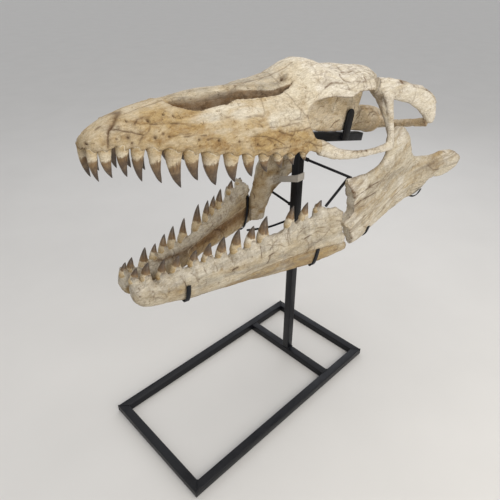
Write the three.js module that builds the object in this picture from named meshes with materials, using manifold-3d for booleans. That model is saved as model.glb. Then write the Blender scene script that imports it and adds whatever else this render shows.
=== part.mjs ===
// Fossil mosasaur skull on a black steel stand, life size.
// Millimetres, +Z up, snout towards -X, the animal's left side towards -Y.
// Origin: middle of the upright post, at the floor.
import * as THREE from 'three';
import { mergeVertices } from 'three/addons/utils/BufferGeometryUtils.js';
import Module from 'manifold-3d';

const wasm = await Module();
wasm.setup();

// ---------------------------------------------------------------- driving dimensions

const gap = 0.4; // open seam between neighbouring bones and steel pieces
const steel = {
  tube: 30, baseLength: 908, baseWidth: 470, baseRear: 212, postTop: 976,
  railDrop: 12.4, railLength: 352, railHeight: 962, rod: 4.5, strip: 3,
};
const cranium = { snoutTip: [-744, 0, 1101], pitch: 10.5, barHalfWidth: 18, reach: 260 };
const leftJaw = { tip: [-692, -22, 0], spread: -14.5, length: 735 };
const rightJaw = { tip: [-692, 20, 8], spread: 13.5, length: 646 };
const leftRearJaw = { front: [60, -188, 0], turn: 1.8, flare: 23.5, flareFrom: 380, flareEase: 90 };
const rightRearJaw = { front: [-125, 134, 0], turn: -11 };

const rad = THREE.MathUtils.degToRad;
const vec = (x, y, z) => new THREE.Vector3(x, y, z);
const upward = vec(0, 0, 1);

// ---------------------------------------------------------------- materials

const paleBone = new THREE.MeshStandardMaterial({ color: 0xd9c29a, roughness: 0.85, metalness: 0 });
const tanBone = new THREE.MeshStandardMaterial({ color: 0xb08d5c, roughness: 0.9, metalness: 0 });
const blackSteel = new THREE.MeshStandardMaterial({ color: 0x1d1f24, roughness: 0.55, metalness: 0.6 });
const greyStrap = new THREE.MeshStandardMaterial({ color: 0xb9b3a5, roughness: 0.6, metalness: 0.2 });

// ---------------------------------------------------------------- curves and solids

// A smooth function through [x, value] pairs that never overshoots them.
function through(...points) {
  const last = points.length - 1;
  const secant = (i) => (points[i + 1][1] - points[i][1]) / (points[i + 1][0] - points[i][0]);
  const slope = points.map((_, i) => {
    const before = secant(Math.max(i - 1, 0));
    const after = secant(Math.min(i, last - 1));
    return before * after <= 0 ? 0 : (2 * before * after) / (before + after);
  });
  return (x) => {
    if (x <= points[0][0]) {
      return points[0][1];
    }
    if (x >= points[last][0]) {
      return points[last][1];
    }
    const k = points.findIndex((p) => x <= p[0]);
    const [x0, y0] = points[k - 1];
    const [x1, y1] = points[k];
    const width = x1 - x0;
    const t = (x - x0) / width;
    const u = 1 - t;
    return (1 + 2 * t) * u * u * y0 + t * u * u * width * slope[k - 1]
      + t * t * (3 - 2 * t) * y1 - t * t * u * width * slope[k];
  };
}

function steps(from, to, count) {
  return Array.from({ length: count + 1 }, (_, i) => from + ((to - from) * i) / count);
}

const around = (sides) => steps(0, 2 * Math.PI, sides).slice(0, sides);
const rounded = (value, power) => Math.sign(value) * Math.abs(value) ** power;

// Turns a closed geometry into a solid for joining and cutting, its faces pointing out.
function solid(geometry) {
  geometry.deleteAttribute('normal');
  geometry.deleteAttribute('uv');
  const merged = mergeVertices(geometry, 1e-4);
  const vertProperties = merged.attributes.position.array;
  const index = Array.from(merged.index.array);
  const corner = (i) => vec(...vertProperties.slice(3 * i, 3 * i + 3));
  let volume = 0;
  for (let i = 0; i < index.length; i += 3) {
    volume += corner(index[i]).dot(corner(index[i + 1]).cross(corner(index[i + 2])));
  }
  const triVerts = Uint32Array.from(volume < 0 ? index.reverse() : index);
  return new wasm.Manifold(new wasm.Mesh({ numProp: 3, vertProperties, triVerts }));
}

// Skins a row of rings, each with the same number of points, and closes both ends.
function loft(rings) {
  const sides = rings[0].length;
  const points = rings.flat();
  const index = [];
  const next = (j) => (j + 1) % sides;
  for (let row = 0; row < rings.length - 1; row += 1) {
    for (let j = 0; j < sides; j += 1) {
      const a = row * sides + j;
      const b = row * sides + next(j);
      index.push(a, b, a + sides, b, b + sides, a + sides);
    }
  }
  [0, rings.length - 1].forEach((row) => {
    const centre = rings[row].reduce((sum, p) => sum.add(p), vec(0, 0, 0)).divideScalar(sides);
    const middle = points.push(centre) - 1;
    for (let j = 0; j < sides; j += 1) {
      const edge = [row * sides + next(j), row * sides + j];
      index.push(middle, ...(row === 0 ? edge : edge.reverse()));
    }
  });
  const geometry = new THREE.BufferGeometry();
  const flat = points.flatMap((p) => p.toArray());
  geometry.setAttribute('position', new THREE.Float32BufferAttribute(flat, 3));
  geometry.setIndex(index);
  return solid(geometry);
}

// A bar with oval sections along a smooth path. Rows are [x, y, z, half height, half thickness].
function strut(rows, { up = upward, sides = 8, length = 10 } = {}) {
  const path = new THREE.CatmullRomCurve3(rows.map((row) => vec(...row)), false, 'centripetal');
  const last = rows.length - 1;
  const high = through(...rows.map((row, i) => [i / last, row[3]]));
  const thick = through(...rows.map((row, i) => [i / last, row[4]]));
  return loft(steps(0, 1, length).map((t) => {
    const centre = path.getPoint(t);
    const side = path.getTangent(t).cross(up).normalize();
    const rise = side.clone().cross(path.getTangent(t)).normalize();
    return around(sides).map((a) => centre.clone()
      .addScaledVector(rise, high(t) * Math.sin(a))
      .addScaledVector(side, thick(t) * Math.cos(a)));
  }));
}

function box(x0, x1, y0, y1, z0, z1) {
  const geometry = new THREE.BoxGeometry(x1 - x0, y1 - y0, z1 - z0);
  geometry.translate((x0 + x1) / 2, (y0 + y1) / 2, (z0 + z1) / 2);
  return solid(geometry);
}

// An outline in the X-Y plane, pulled from z0 to z1.
function planCut(outline, z0, z1) {
  const shape = new THREE.Shape(outline.map(([x, y]) => new THREE.Vector2(x, y)));
  const geometry = new THREE.ExtrudeGeometry(shape, { depth: z1 - z0, bevelEnabled: false });
  geometry.translate(0, 0, z0);
  return solid(geometry);
}

// An outline in the X-Z plane, pulled from y0 to y1.
function sideCut(outline, y0, y1) {
  const shape = new THREE.Shape(outline.map(([x, z]) => new THREE.Vector2(x, z)));
  const geometry = new THREE.ExtrudeGeometry(shape, { depth: y1 - y0, bevelEnabled: false });
  geometry.rotateX(Math.PI / 2);
  geometry.translate(0, y1, 0);
  return solid(geometry);
}

const join = (...solids) => solids.reduce((all, next) => all.add(next));
const cut = (from, ...solids) => solids.reduce((rest, next) => rest.subtract(next), from);

// The same solid on the other side of the middle plane.
function mirrored(shape) {
  const mesh = shape.getMesh();
  const vertProperties = mesh.vertProperties.map((v, i) => (i % 3 === 1 ? -v : v));
  const triVerts = mesh.triVerts.slice().reverse();
  return new wasm.Manifold(new wasm.Mesh({ numProp: 3, vertProperties, triVerts }));
}

function place(parent, name, shape, material) {
  const mesh = shape.getMesh();
  const geometry = new THREE.BufferGeometry();
  geometry.setAttribute('position', new THREE.Float32BufferAttribute(mesh.vertProperties, 3));
  geometry.setIndex(Array.from(mesh.triVerts));
  geometry.computeVertexNormals();
  const object = new THREE.Mesh(geometry, material);
  object.name = name;
  parent.add(object);
}

// Teeth: their root sits inside the bone, their section is wider along the jaw than across it.
const crown = {
  rootDepth: 12, flatness: 0.86, sides: 5,
  swell: through([0, 1], [0.4, 0.86], [0.7, 0.54], [0.88, 0.28], [1, 0.04]),
};

// A conical tooth that curves backwards.
function tooth({ base, tip, radius, bow, rings }) {
  const from = vec(...base);
  const to = vec(...tip);
  const axis = to.clone().sub(from);
  const down = axis.clone().normalize();
  const forward = vec(-1, 0, 0).addScaledVector(down, down.x).normalize();
  const path = new THREE.QuadraticBezierCurve3(
    from.clone().addScaledVector(down, -crown.rootDepth),
    from.clone().lerp(to, 0.5).addScaledVector(forward, bow * axis.length()),
    to,
  );
  return loft(rings.map((t) => {
    const side = path.getTangent(t).cross(vec(1, 0, 0)).normalize();
    const fore = side.clone().cross(path.getTangent(t)).normalize();
    const long = radius * crown.swell(t);
    return around(crown.sides).map((a) => path.getPoint(t)
      .addScaledVector(fore, long * Math.cos(a))
      .addScaledVector(side, long * crown.flatness * Math.sin(a)));
  }));
}

// ---------------------------------------------------------------- cranium
// Own frame: x back from the snout tip, y to the animal's right, z up, level with the tooth margin.

const crest = through([0, 20], [6, 36], [20, 49], [45, 65], [80, 82], [120, 96], [184, 114], [250, 130],
  [304, 141], [413, 155], [478, 172], [536, 186], [606, 211], [645, 229], [696, 241], [755, 228],
  [837, 220], [870, 229], [898, 235], [1040, 237], [1078, 224]);
const gumWidth = through([0, 18], [8, 30], [30, 43], [76, 62], [150, 90], [250, 117], [379, 138],
  [545, 152], [650, 160], [720, 164]);
const gumHeight = through([0, 9], [20, 14], [80, 25], [170, 22], [300, 11], [450, 2], [545, -1], [650, 0]);
const fullness = through([0, 2.1], [120, 1.9], [300, 1.95], [420, 1.85], [540, 1.6], [640, 1.9],
  [700, 2.3]);
const vault = { height: 14, share: 0.2 }; // hollow of the palate, shallower where the snout is narrow

function snoutRing(x) {
  const half = gumWidth(x);
  const low = gumHeight(x);
  const high = crest(x) - low;
  const power = 2 / fullness(x);
  const wall = steps(0, Math.PI, 12).map((a) => vec(
    x,
    -half * rounded(Math.cos(a), power),
    low + high * Math.sin(a) ** power,
  ));
  const hollow = Math.min(vault.height, half * vault.share);
  const palate = [0.5, -0.5].map((f) => vec(x, f * half, low + hollow));
  return [...wall, ...palate];
}

// The long nostril of the left side, open upwards. The bar beside it widens into the forehead.
const nostrilStations = [200, 222, 250, 290, 340, 400, 435, 475, 530, 598];
const nostrilOuter = through([200, 26], [206, 43], [220, 54], [248, 69], [280, 76], [342, 75], [388, 64],
  [424, 68], [506, 73], [570, 71], [598, 67]);
const nostrilInner = through([200, 18], [404, 18], [424, 26], [442, 37], [474, 47], [496, 51], [538, 57],
  [562, 58], [580, 61], [598, 65]);
const nostrilFloor = through([200, 84], [250, 54], [500, 70], [560, 110], [598, 150]);

function nostril() {
  const [high, flare, rim] = [280, 8, 30];
  return loft(nostrilStations.map((x) => {
    const [outer, inner, floor] = [nostrilOuter(x), nostrilInner(x), nostrilFloor(x)];
    return [
      vec(x, -inner, high),
      vec(x, -outer - flare, high),
      vec(x, -outer, floor + rim),
      vec(x, -(0.6 * outer + 0.4 * inner), floor),
      vec(x, -inner - 2, floor),
    ];
  }));
}

const roofHalf = through([655, 126], [700, 130], [780, 136], [860, 146], [905, 150], [945, 112], [985, 60],
  [1078, 44]);
const roofEdge = through([655, 150], [800, 151], [836, 171], [905, 176], [960, 186], [1078, 204]);
const roofThickness = 18;
const roofLip = 0.92; // share of the half width where the under side begins
const wallSpan = 0.4; // share of the roof's width that the inner wall spreads to where it meets the roof
const roofStations = steps(655, 1078, 12);

function roofUnder(x, f) {
  const edge = roofEdge(x);
  return edge - roofThickness + (crest(x) - edge - roofThickness) * (1 - f * f);
}

function roofRing(x) {
  const half = roofHalf(x);
  const edge = roofEdge(x);
  const rise = crest(x) - edge;
  const top = steps(0, Math.PI, 6).map((a) => vec(x, -half * Math.cos(a), edge + rise * Math.sin(a)));
  const under = [roofLip, wallSpan, -wallSpan, -roofLip].map((f) => vec(x, f * half, roofUnder(x, f)));
  return [...top, ...under];
}

// Bars of the left cheek and temple.
// Rows are [x, y, z, half height, half thickness].
const templeArch = [
  [905, -146, 190, 26, 30], [950, -174, 187, 31, 20], [1040, -188, 178, 30, 15], [1124, -196, 165, 35, 16],
  [1178, -206, 142, 37, 18], [1202, -212, 110, 27, 18], [1208, -214, 84, 13, 16],
];
const postorbitalBar = [
  [926, -168, 196, 36, 14], [944, -181, 160, 23, 11], [956, -184, 134, 16, 10.5],
  [972, -188, 96, 14, 10], [990, -193, 50, 15, 10], [1002, -195, 8, 27, 9.5],
];
const jugalBar = [
  [596, -140, 20, 18, 10], [640, -156, 15, 22, 11], [684, -168, 3, 20, 11], [724, -174, -7, 17, 10],
  [790, -182, -13, 14, 9], [880, -189, -10, 11, 8], [960, -193, -1, 14, 8.5], [1018, -195, 10, 18, 8.5],
];
const earBar = [
  [1168, -30, 52, 26, 22], [1184, -80, 54, 15, 15], [1192, -140, 66, 14, 14], [1200, -212, 84, 16, 16],
];

// The thin wall that stands under the middle of the roof, from the orbit back to the brain.
function innerWall() {
  const low = through([760, 62], [796, 24], [860, 19], [1060, 14]);
  const stations = roofStations.filter((x) => x > 750 && x < 1060);
  return loft(stations.map((x) => {
    const high = roofUnder(x, wallSpan) - gap;
    const side = [[8, low(x)], [9, 78], [15, high - 30], [wallSpan * roofHalf(x) * 0.95, high]];
    return [...side.map(([y, z]) => vec(x, -y, z)), ...side.reverse().map(([y, z]) => vec(x, y, z))];
  }));
}

function brainBox() {
  const half = through([1040, 12], [1075, 42], [1150, 50], [1195, 34], [1228, 22]);
  const top = through([1040, 104], [1100, 106], [1160, 102], [1200, 96], [1228, 88]);
  const low = through([1040, 14], [1120, 12], [1150, 6], [1185, 6], [1205, 30], [1228, 50]);
  return loft(steps(1036, 1228, 6).map((x) => around(8).map((a) => vec(
    x,
    half(x) * Math.cos(a),
    (top(x) + low(x)) / 2 + ((top(x) - low(x)) / 2) * Math.sin(a),
  ))));
}

// Upper teeth of one side: station, height of the tip, radius, how far back the tip leans.
// The first two grow from the premaxilla.
const upperTeeth = [
  [21, -62, 12.5, 15], [44, -53, 14.5, 19], [79, -49, 16, 13], [111, -60, 16.5, 13], [147, -66, 18.5, 24],
  [191, -80, 20.5, 30], [235, -63, 21, 28], [292, -80, 26, 27], [348, -74, 21, 25], [402, -62, 19, 24],
  [452, -52, 16, 22], [504, -44, 15, 24], [552, -37, 13, 20], [600, -26, 11, 16],
];
const teethInPremaxilla = 2;
// The first roots stand further in, behind the end of the snout, by up to a share of their radius.
const tuck = { share: 0.36, from: 21, to: 62 };

function upperTooth([x, reach, radius, lean]) {
  const near = Math.max(0, (tuck.to - x) / (tuck.to - tuck.from));
  const y = -gumWidth(x) + radius * (1.04 + tuck.share * near);
  return tooth({
    base: [x, y, gumHeight(x)], tip: [x + lean, y + 2, reach], radius, bow: 0.16, rings: [0, 0.4, 0.75, 1],
  });
}

function buildCranium(group) {
  const far = cranium.reach;
  const [under, over] = [-90, 320];
  const rim = (d) => [[642 + d, 0], [640 + d, 34], [622 + d, 58], [612 + d, 90]];
  const orbit = [...rim(0), [614, 108], [628, 124], [664, 142], [712, 150], [800, 151], [1000, 170],
    [1000, under], [648, under]];
  const stations = [0, 4, 18, 42, 75, 120, 180, 250, 320, 400, 480, 545, 600, 650, 706];
  const shell = join(loft(stations.map(snoutRing)), loft(roofStations.map(roofRing)));
  let rest = cut(shell, nostril(), mirrored(nostril()), sideCut(orbit, -far, far));

  // Each bone is a region of the shell. The region is drawn twice, the second time wider by the seam.
  const take = (region) => {
    const piece = rest.intersect(region(0));
    rest = rest.subtract(region(gap));
    return piece;
  };
  const premaxilla = take((d) => join(
    sideCut([[-40, under], [60.5 + d, under], [60.5 + d, 33], [46 + d, 42], [47 + d, 49], [64 + d, 67],
      [84 + d, 83], [96 + d, 90], [100 + d, over], [-40, over]], -far, far),
    box(60, 640 + d, -cranium.barHalfWidth - d, cranium.barHalfWidth + d, 52 - d, over),
  ));
  const forehead = planCut([[384, 17.9], [400, 34], [430, 50], [480, 59], [560, 65], [640, 62],
    [640, 17.9]], 52, over);
  const cheekSide = (d, y0, y1) => cut(
    sideCut([[40, under], [720, under], [720, 40 + d], [650, 52 + d], [600, 96 + d], [560, 150 + d],
      [520, over], [40, over]], y0, y1),
    forehead,
    mirrored(forehead),
  );
  const maxillaLeft = take((d) => cheekSide(d, -far, d - gap / 2));
  const maxillaRight = take((d) => cheekSide(d, gap / 2 - d, far));
  const brow = (d) => planCut([[500, -62 + d], [690, -62 + d], [770 + d, -96 + d], [770 + d, -far],
    [500, -far]], under, over);
  const prefrontalLeft = take(brow);
  const prefrontalRight = take((d) => mirrored(brow(d)));
  const wing = (d) => planCut([[845 - d, -64 + d], [1200, -64 + d], [1200, -far], [845 - d, -far]],
    under, over);
  const roofWing = take(wing);
  take((d) => mirrored(wing(d)));
  const frontal = take((d) => box(380, 884 + d, -far, far, under, over));
  const parietal = rest;

  // Cheek and temple of the left side; the right side is its mirror image.
  const arch = strut(templeArch, { length: 9 });
  const bar = strut(postorbitalBar, { up: vec(1, 0, 0), sides: 6, length: 6 });
  const templeSeam = (d) => planCut([[1092 + d, -60], [1300, -60], [1300, -far], [1060 + d, -far]],
    under, over);
  const postorbital = cut(
    join(roofWing, arch, bar.intersect(box(880, 1100, -far, 0, 40, over))),
    templeSeam(0),
    box(800, 1120, -64 + gap, 0, under, over),
  );
  const jugal = cut(
    join(strut(jugalBar, { sides: 6, length: 8 }), bar.intersect(box(880, 1100, -far, 0, under, 40 - gap))),
    sideCut([[500, under], [648 + gap, under], ...rim(gap), [500, over]], -far, 0),
  );
  const process = strut(earBar, { sides: 6, length: 5 });
  const wider = earBar.map(([x, y, z, high, thick]) => [x, y, z, high + gap, thick + gap]);
  const widerProcess = strut(wider, { sides: 6, length: 5 });
  const squamosal = cut(arch.intersect(templeSeam(gap)), widerProcess);
  const braincase = join(innerWall(), brainBox(), process, mirrored(process));

  const teeth = upperTeeth.map(upperTooth);
  const frontTeeth = join(...teeth.slice(0, teethInPremaxilla));
  const cheekTeeth = join(...teeth.slice(teethInPremaxilla));
  place(group, 'premaxilla', join(premaxilla, frontTeeth, mirrored(frontTeeth)), paleBone);
  const pairs = {
    maxilla: [join(maxillaLeft, cheekTeeth), join(maxillaRight, mirrored(cheekTeeth))],
    prefrontal: [prefrontalLeft, prefrontalRight],
    postorbital: [postorbital, mirrored(postorbital)],
    jugal: [jugal, mirrored(jugal)],
    squamosal: [squamosal, mirrored(squamosal)],
  };
  Object.entries(pairs).forEach(([name, [left, right]]) => {
    place(group, `${name}_left`, left, paleBone);
    place(group, `${name}_right`, right, paleBone);
  });
  place(group, 'frontal', frontal, paleBone);
  place(group, 'parietal', parietal, paleBone);
  place(group, 'braincase', braincase, tanBone);
}

// ---------------------------------------------------------------- front half of the lower jaw
// Own frame of one bone: x back from its tip, y across it, z the height over the floor.

const jawTop = through([0, 728], [8, 738], [27, 744], [54, 735], [98, 729], [143, 737], [191, 741],
  [257, 738], [342, 745], [396, 752], [459, 759], [517, 777], [584, 788], [640, 806], [668, 805],
  [760, 800]);
const jawLow = through([0, 690], [3, 679], [14, 665], [33, 654], [89, 641], [158, 630], [196, 626],
  [341, 625], [420, 616], [496, 609], [600, 603], [679, 607], [760, 622]);
const jawThick = through([0, 14], [8, 22], [30, 27], [120, 27], [400, 25], [640, 22], [760, 18]);
// How far the tooth margin of each bone is worn down.
const jawWear = {
  left: () => 0,
  right: through([0, 0], [27, 14], [123, 12], [192, 20], [296, 28], [416, 14], [520, 6], [646, 0]),
};

function plateRing(x, y, low, top, half, sides = 8) {
  const high = (top - low) / 2;
  return around(sides).map((a) => vec(
    x,
    y + half * rounded(Math.cos(a), 0.8),
    low + high + high * rounded(Math.sin(a), 0.85),
  ));
}

// Lower teeth: station, height of the tip above the unworn margin, radius.
const lowerTeeth = {
  left: [
    [14, 36, 13], [46, 46, 14], [90, 49, 14], [132, 42, 15], [184, 38, 15], [228, 50, 16], [272, 58, 16],
    [320, 66, 17], [368, 56, 17], [412, 71, 18], [506, 60, 16], [558, 50, 14], [610, 30, 13],
  ],
  right: [
    [13, 21, 12], [38, 23, 12], [90, 39, 15], [131, 25, 12], [172, 31, 14], [212, 39, 15], [264, 44, 16],
    [336, 54, 17], [386, 41, 14], [420, 40, 13], [458, 45, 15], [524, 32, 14], [578, 14, 12],
  ],
};

function lowerTooth([x, reach, radius], wear) {
  const [base, tip] = [[x, 3, jawTop(x) - wear(x) - 3], [x + 12, 2, jawTop(x) + reach]];
  return tooth({ base, tip, radius, bow: 0.12, rings: [0, 0.45, 1] });
}

// A strip of steel that hooks round the outer face and under the lower edge of a jaw bone.
function clip({ x, y, low, top, half, side, highest, clear }) {
  const high = (top - low) / 2;
  const rows = steps(highest, -105, 5).map(rad).map((a) => [
    x + (high + clear) * 0.1 * Math.sin(a),
    y + side * (half + clear) * rounded(Math.cos(a), 0.8),
    low + high + (high + clear) * rounded(Math.sin(a), 0.85),
    steel.strip, steel.strip,
  ]);
  return strut(rows, { up: vec(1, 0, 0), sides: 4, length: 6 });
}

function buildFrontJaw(group, jaw, label, clips) {
  const inward = -Math.sign(jaw.spread);
  const stations = [0, 4, 14, 30, 55, 100, 160, 230, 320, 420, 520, 600, 680, 745];
  const [end, wide, wear] = [jaw.length, 90, jawWear[label]];
  const outline = sideCut([[-20, 560], [end - 19, 560], [end + 1, 600], [end - 5, 640], [end - 19, 687],
    [end - 41, 732], [end - 33, 768], [end - 41, 790], [end - 63, 812], [end - 63, 900], [-20, 900]],
  -wide, wide);
  const ring = (x) => plateRing(x, 0, jawLow(x), jawTop(x) - wear(x), jawThick(x));
  const body = loft(stations.map(ring)).intersect(outline);
  const splenialDepth = 11; // the splenial begins this far inside the bone's middle plane
  const splenialSide = (d) => sideCut([[250 - d, 680 + d], [330, 690 + d], [560, 694 + d], [800, 700 + d],
    [800, 560], [250 - d, 560]], ...(inward > 0 ? [splenialDepth - d, wide] : [-wide, d - splenialDepth]));
  const teeth = lowerTeeth[label].map((row) => lowerTooth(row, wear));
  const holder = new THREE.Group();
  holder.position.set(...jaw.tip);
  holder.rotation.z = rad(jaw.spread);
  place(holder, `dentary_${label}`, join(body.subtract(splenialSide(gap)), ...teeth), paleBone);
  place(holder, `splenial_${label}`, body.intersect(splenialSide(0)), tanBone);
  clips.forEach(({ name, ...spec }) => {
    const section = { y: 0, low: jawLow(spec.x), top: jawTop(spec.x), half: jawThick(spec.x) };
    place(holder, name, clip({ ...spec, ...section, clear: steel.strip + 1.5 }), blackSteel);
  });
  group.add(holder);
}

// ---------------------------------------------------------------- rear half of the lower jaw

const rearTop = through([-50, 874], [-20, 868], [38, 858], [95, 853], [170, 862], [196, 900], [217, 964],
  [235, 976], [264, 972], [290, 964], [330, 928], [350, 904], [372, 862], [407, 826], [446, 818],
  [482, 821], [520, 832], [562, 828], [588, 812], [603, 788]);
const rearLow = through([-50, 640], [27, 600], [59, 600], [92, 604], [163, 621], [260, 635], [371, 650],
  [433, 663], [452, 686], [476, 722], [535, 724], [565, 733], [586, 752], [603, 772]);
const rearThick = through([-50, 12], [0, 18], [100, 21], [250, 17], [380, 22], [430, 30], [470, 28],
  [530, 22], [580, 22], [603, 12]);

function rearBend(x) {
  const past = Math.max(0, x - leftRearJaw.flareFrom);
  return -Math.tan(rad(leftRearJaw.flare)) * past * Math.min(1, past / leftRearJaw.flareEase);
}

function buildLeftRearJaw(group) {
  const stations = [-50, -15, 25, 75, 130, 175, 197, 215, 240, 268, 300, 335, 370, 410, 450, 495, 545,
    590, 603];
  const frontEdge = sideCut([[-47, 876], [-45, 852], [-20, 825], [-8, 795], [-4, 765], [2, 741], [-26, 727],
    [-50, 715], [-30, 694], [-13, 676], [14, 633], [22, 590], [40, 560], [700, 560], [700, 1000],
    [-30, 1000]], -240, 240);
  const ring = (x) => plateRing(x, rearBend(x), rearLow(x), rearTop(x), rearThick(x));
  let rest = loft(stations.map(ring)).intersect(frontEdge);
  const take = (outline) => {
    const piece = rest.intersect(sideCut(outline(0), -240, 240));
    rest = rest.subtract(sideCut(outline(gap), -240, 240));
    return piece;
  };
  const holder = new THREE.Group();
  holder.position.set(...leftRearJaw.front);
  holder.rotation.z = rad(leftRearJaw.turn);
  const coronoid = take((d) => [[150 - d, 1000], [150 - d, 846 - d], [230, 862 - d], [300, 884 - d],
    [352 + d, 1000]]);
  const articular = take((d) => [[396 - d, 560], [404 - d, 720], [392 - d, 1000], [700, 1000], [700, 560]]);
  const angular = take((d) => [[-60, 560], [-60, 672 + d], [60, 668 + d], [240, 690 + d], [420, 704 + d],
    [420, 560]]);
  place(holder, 'coronoid_left', coronoid, paleBone);
  place(holder, 'articular_left', articular, paleBone);
  place(holder, 'angular_left', angular, paleBone);
  place(holder, 'surangular_left', rest, paleBone);
  [
    { name: 'stand_clip_left_angular', x: 118, highest: -40, clear: steel.strip + 2.5 },
    { name: 'stand_clip_left_articular', x: 436, highest: -30, clear: steel.strip + 9 },
  ].forEach(({ name, ...spec }) => {
    const { x } = spec;
    const section = { y: rearBend(x), low: rearLow(x), top: rearTop(x), half: rearThick(x) };
    place(holder, name, clip({ ...spec, ...section, side: -1 }), blackSteel);
  });
  group.add(holder);
}

// Only the front part of the right side is preserved.
function buildRightRearJaw(group) {
  const low = through([24, 636], [78, 634], [104, 712], [139, 747], [206, 795], [250, 838]);
  const top = through([24, 740], [41, 800], [60, 862], [86, 900], [172, 918], [243, 872], [250, 856]);
  const half = through([24, 9], [60, 17], [206, 17], [250, 9]);
  const holder = new THREE.Group();
  holder.position.set(...rightRearJaw.front);
  holder.rotation.z = rad(rightRearJaw.turn);
  const shape = loft([24, 34, 48, 64, 82, 104, 135, 170, 206, 232, 250]
    .map((x) => plateRing(x, 0, low(x), top(x), half(x))));
  place(holder, 'surangular_right', shape, paleBone);
  group.add(holder);
}

// ---------------------------------------------------------------- stand

function buildStand(group) {
  const { tube, postTop } = steel;
  const half = steel.baseWidth / 2;
  const [front, rear] = [steel.baseRear - steel.baseLength, steel.baseRear];
  const put = (name, shape) => place(group, name, shape, blackSteel);

  // Floor frame with mitred corners, and the tube across it under the post.
  [[-1, 'left'], [1, 'right']].forEach(([side, label]) => {
    const [outer, inner] = [side * half, side * (half - tube)];
    put(`stand_base_${label}`, planCut([[front, outer], [rear, outer], [rear - tube, inner],
      [front + tube, inner]], 0, tube));
  });
  [[front, tube, 'front'], [rear, -tube, 'rear']].forEach(([x, inward, label]) => {
    const edge = half - gap * 1.5;
    const miter = edge - tube;
    put(`stand_base_${label}`, planCut([[x, -edge], [x, edge], [x + inward, miter],
      [x + inward, -miter]], 0, tube));
  });
  put('stand_cross', box(-tube / 2, tube / 2, tube - half + gap, half - tube - gap, 0, tube));
  put('stand_post', box(-tube / 2, tube / 2, -tube / 2, tube / 2, tube + gap, postTop));

  // Rail under the middle of the cranium, with the pad that grips its inner wall.
  const face = tube / 2 + gap;
  const rail = new THREE.Group();
  rail.position.set(face, 0, steel.railHeight);
  rail.rotation.y = rad(steel.railDrop);
  const start = (tube / 2) * Math.tan(rad(steel.railDrop));
  const railTube = box(start, steel.railLength, -tube / 2, tube / 2, -tube / 2, tube / 2);
  place(rail, 'stand_rail', railTube, blackSteel);
  const pad = { x: 226, half: 21, thick: 7, low: -12, high: 80 };
  const plate = new THREE.Shape();
  plate.moveTo(pad.x - pad.half, pad.low);
  plate.lineTo(pad.x + pad.half, pad.low);
  plate.absarc(pad.x, pad.high, pad.half, 0, Math.PI, false);
  const plateGeometry = new THREE.ExtrudeGeometry(plate, {
    depth: pad.thick, bevelEnabled: false, curveSegments: 6,
  });
  plateGeometry.rotateX(Math.PI / 2);
  plateGeometry.translate(0, -face, 0);
  place(rail, 'stand_pad', solid(plateGeometry), blackSteel);
  group.add(rail);

  // Round rods that hold the jaw bones off the post.
  const rod = (name, ...points) => put(name, strut(points.map((p) => [...p, steel.rod, steel.rod]),
    { sides: 6, length: points.length > 2 ? 4 : 1 }));
  const weld = face + 3.5; // a slanting rod's middle line starts this far out, clear of the tube
  rod('stand_rod_left_upper', [4, -weld, 896], [52, -165, 862]);
  rod('stand_rod_left_lower', [34, -168, 852], [-36, -172, 810]);
  rod('stand_rod_right', [-3, weld, 712], [-3, 92, 728]);
  rod('stand_arm_left_front', [-weld, -6, 640], [-300, -28, 626], [-540, -54, 622]);
  rod('stand_arm_left_rear', [-6, -weld, 650], [-60, -110, 606], [-112, -168, 590]);
  rod('stand_arm_right_front', [-weld, 4, 664], [-80, 60, 632], [-118, 128, 607]);

  // Grey strap round the post that holds the right rear jaw bone.
  const outer = face + 4;
  const limb = [[-outer, 816, 842], [-face, 815, 841], [66, 790, 810]].map(([y, low, high]) => [
    vec(-outer, y, low), vec(-face, y, low), vec(-face, y, high), vec(-outer, y, high)]);
  const strap = join(loft(limb), box(-outer, tube / 2, -outer, -face, 816, 842));
  place(group, 'stand_strap', strap, greyStrap);
}

// ---------------------------------------------------------------- assembly

const model = new THREE.Group();
const head = new THREE.Group();
head.position.set(...cranium.snoutTip);
head.rotation.y = rad(cranium.pitch);
buildCranium(head);
model.add(head);
buildFrontJaw(model, leftJaw, 'left', [
  { name: 'stand_clip_left_front', x: 152, side: -1, highest: 6 },
  { name: 'stand_clip_left_rear', x: 606, side: -1, highest: -14 },
]);
buildFrontJaw(model, rightJaw, 'right', [{ name: 'stand_clip_right', x: 590, side: -1, highest: 20 }]);
buildLeftRearJaw(model);
buildRightRearJaw(model);
buildStand(model);

export default model;
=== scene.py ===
import math
import bpy
import numpy as np
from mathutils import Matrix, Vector, kdtree


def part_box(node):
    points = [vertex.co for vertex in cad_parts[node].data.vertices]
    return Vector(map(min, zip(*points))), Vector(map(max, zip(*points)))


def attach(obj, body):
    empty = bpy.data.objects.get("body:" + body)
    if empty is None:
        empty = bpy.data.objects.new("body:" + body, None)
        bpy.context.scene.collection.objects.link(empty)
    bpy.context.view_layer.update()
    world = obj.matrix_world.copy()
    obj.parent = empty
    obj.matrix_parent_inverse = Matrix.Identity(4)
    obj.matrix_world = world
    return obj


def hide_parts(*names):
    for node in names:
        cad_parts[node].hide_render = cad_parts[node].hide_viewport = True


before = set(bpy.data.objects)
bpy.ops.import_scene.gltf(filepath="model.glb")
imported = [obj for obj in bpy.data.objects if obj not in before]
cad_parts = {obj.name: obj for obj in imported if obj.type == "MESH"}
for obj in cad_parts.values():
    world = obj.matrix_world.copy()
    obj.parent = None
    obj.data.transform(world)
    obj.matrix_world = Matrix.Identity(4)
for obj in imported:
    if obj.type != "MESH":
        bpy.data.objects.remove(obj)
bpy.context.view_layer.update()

# Bones are worked in millimetres, each in its own plain frame: x back, y across, z up.
# They go into the object's frame in metres when their mesh is made.
mm = 0.001
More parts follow.
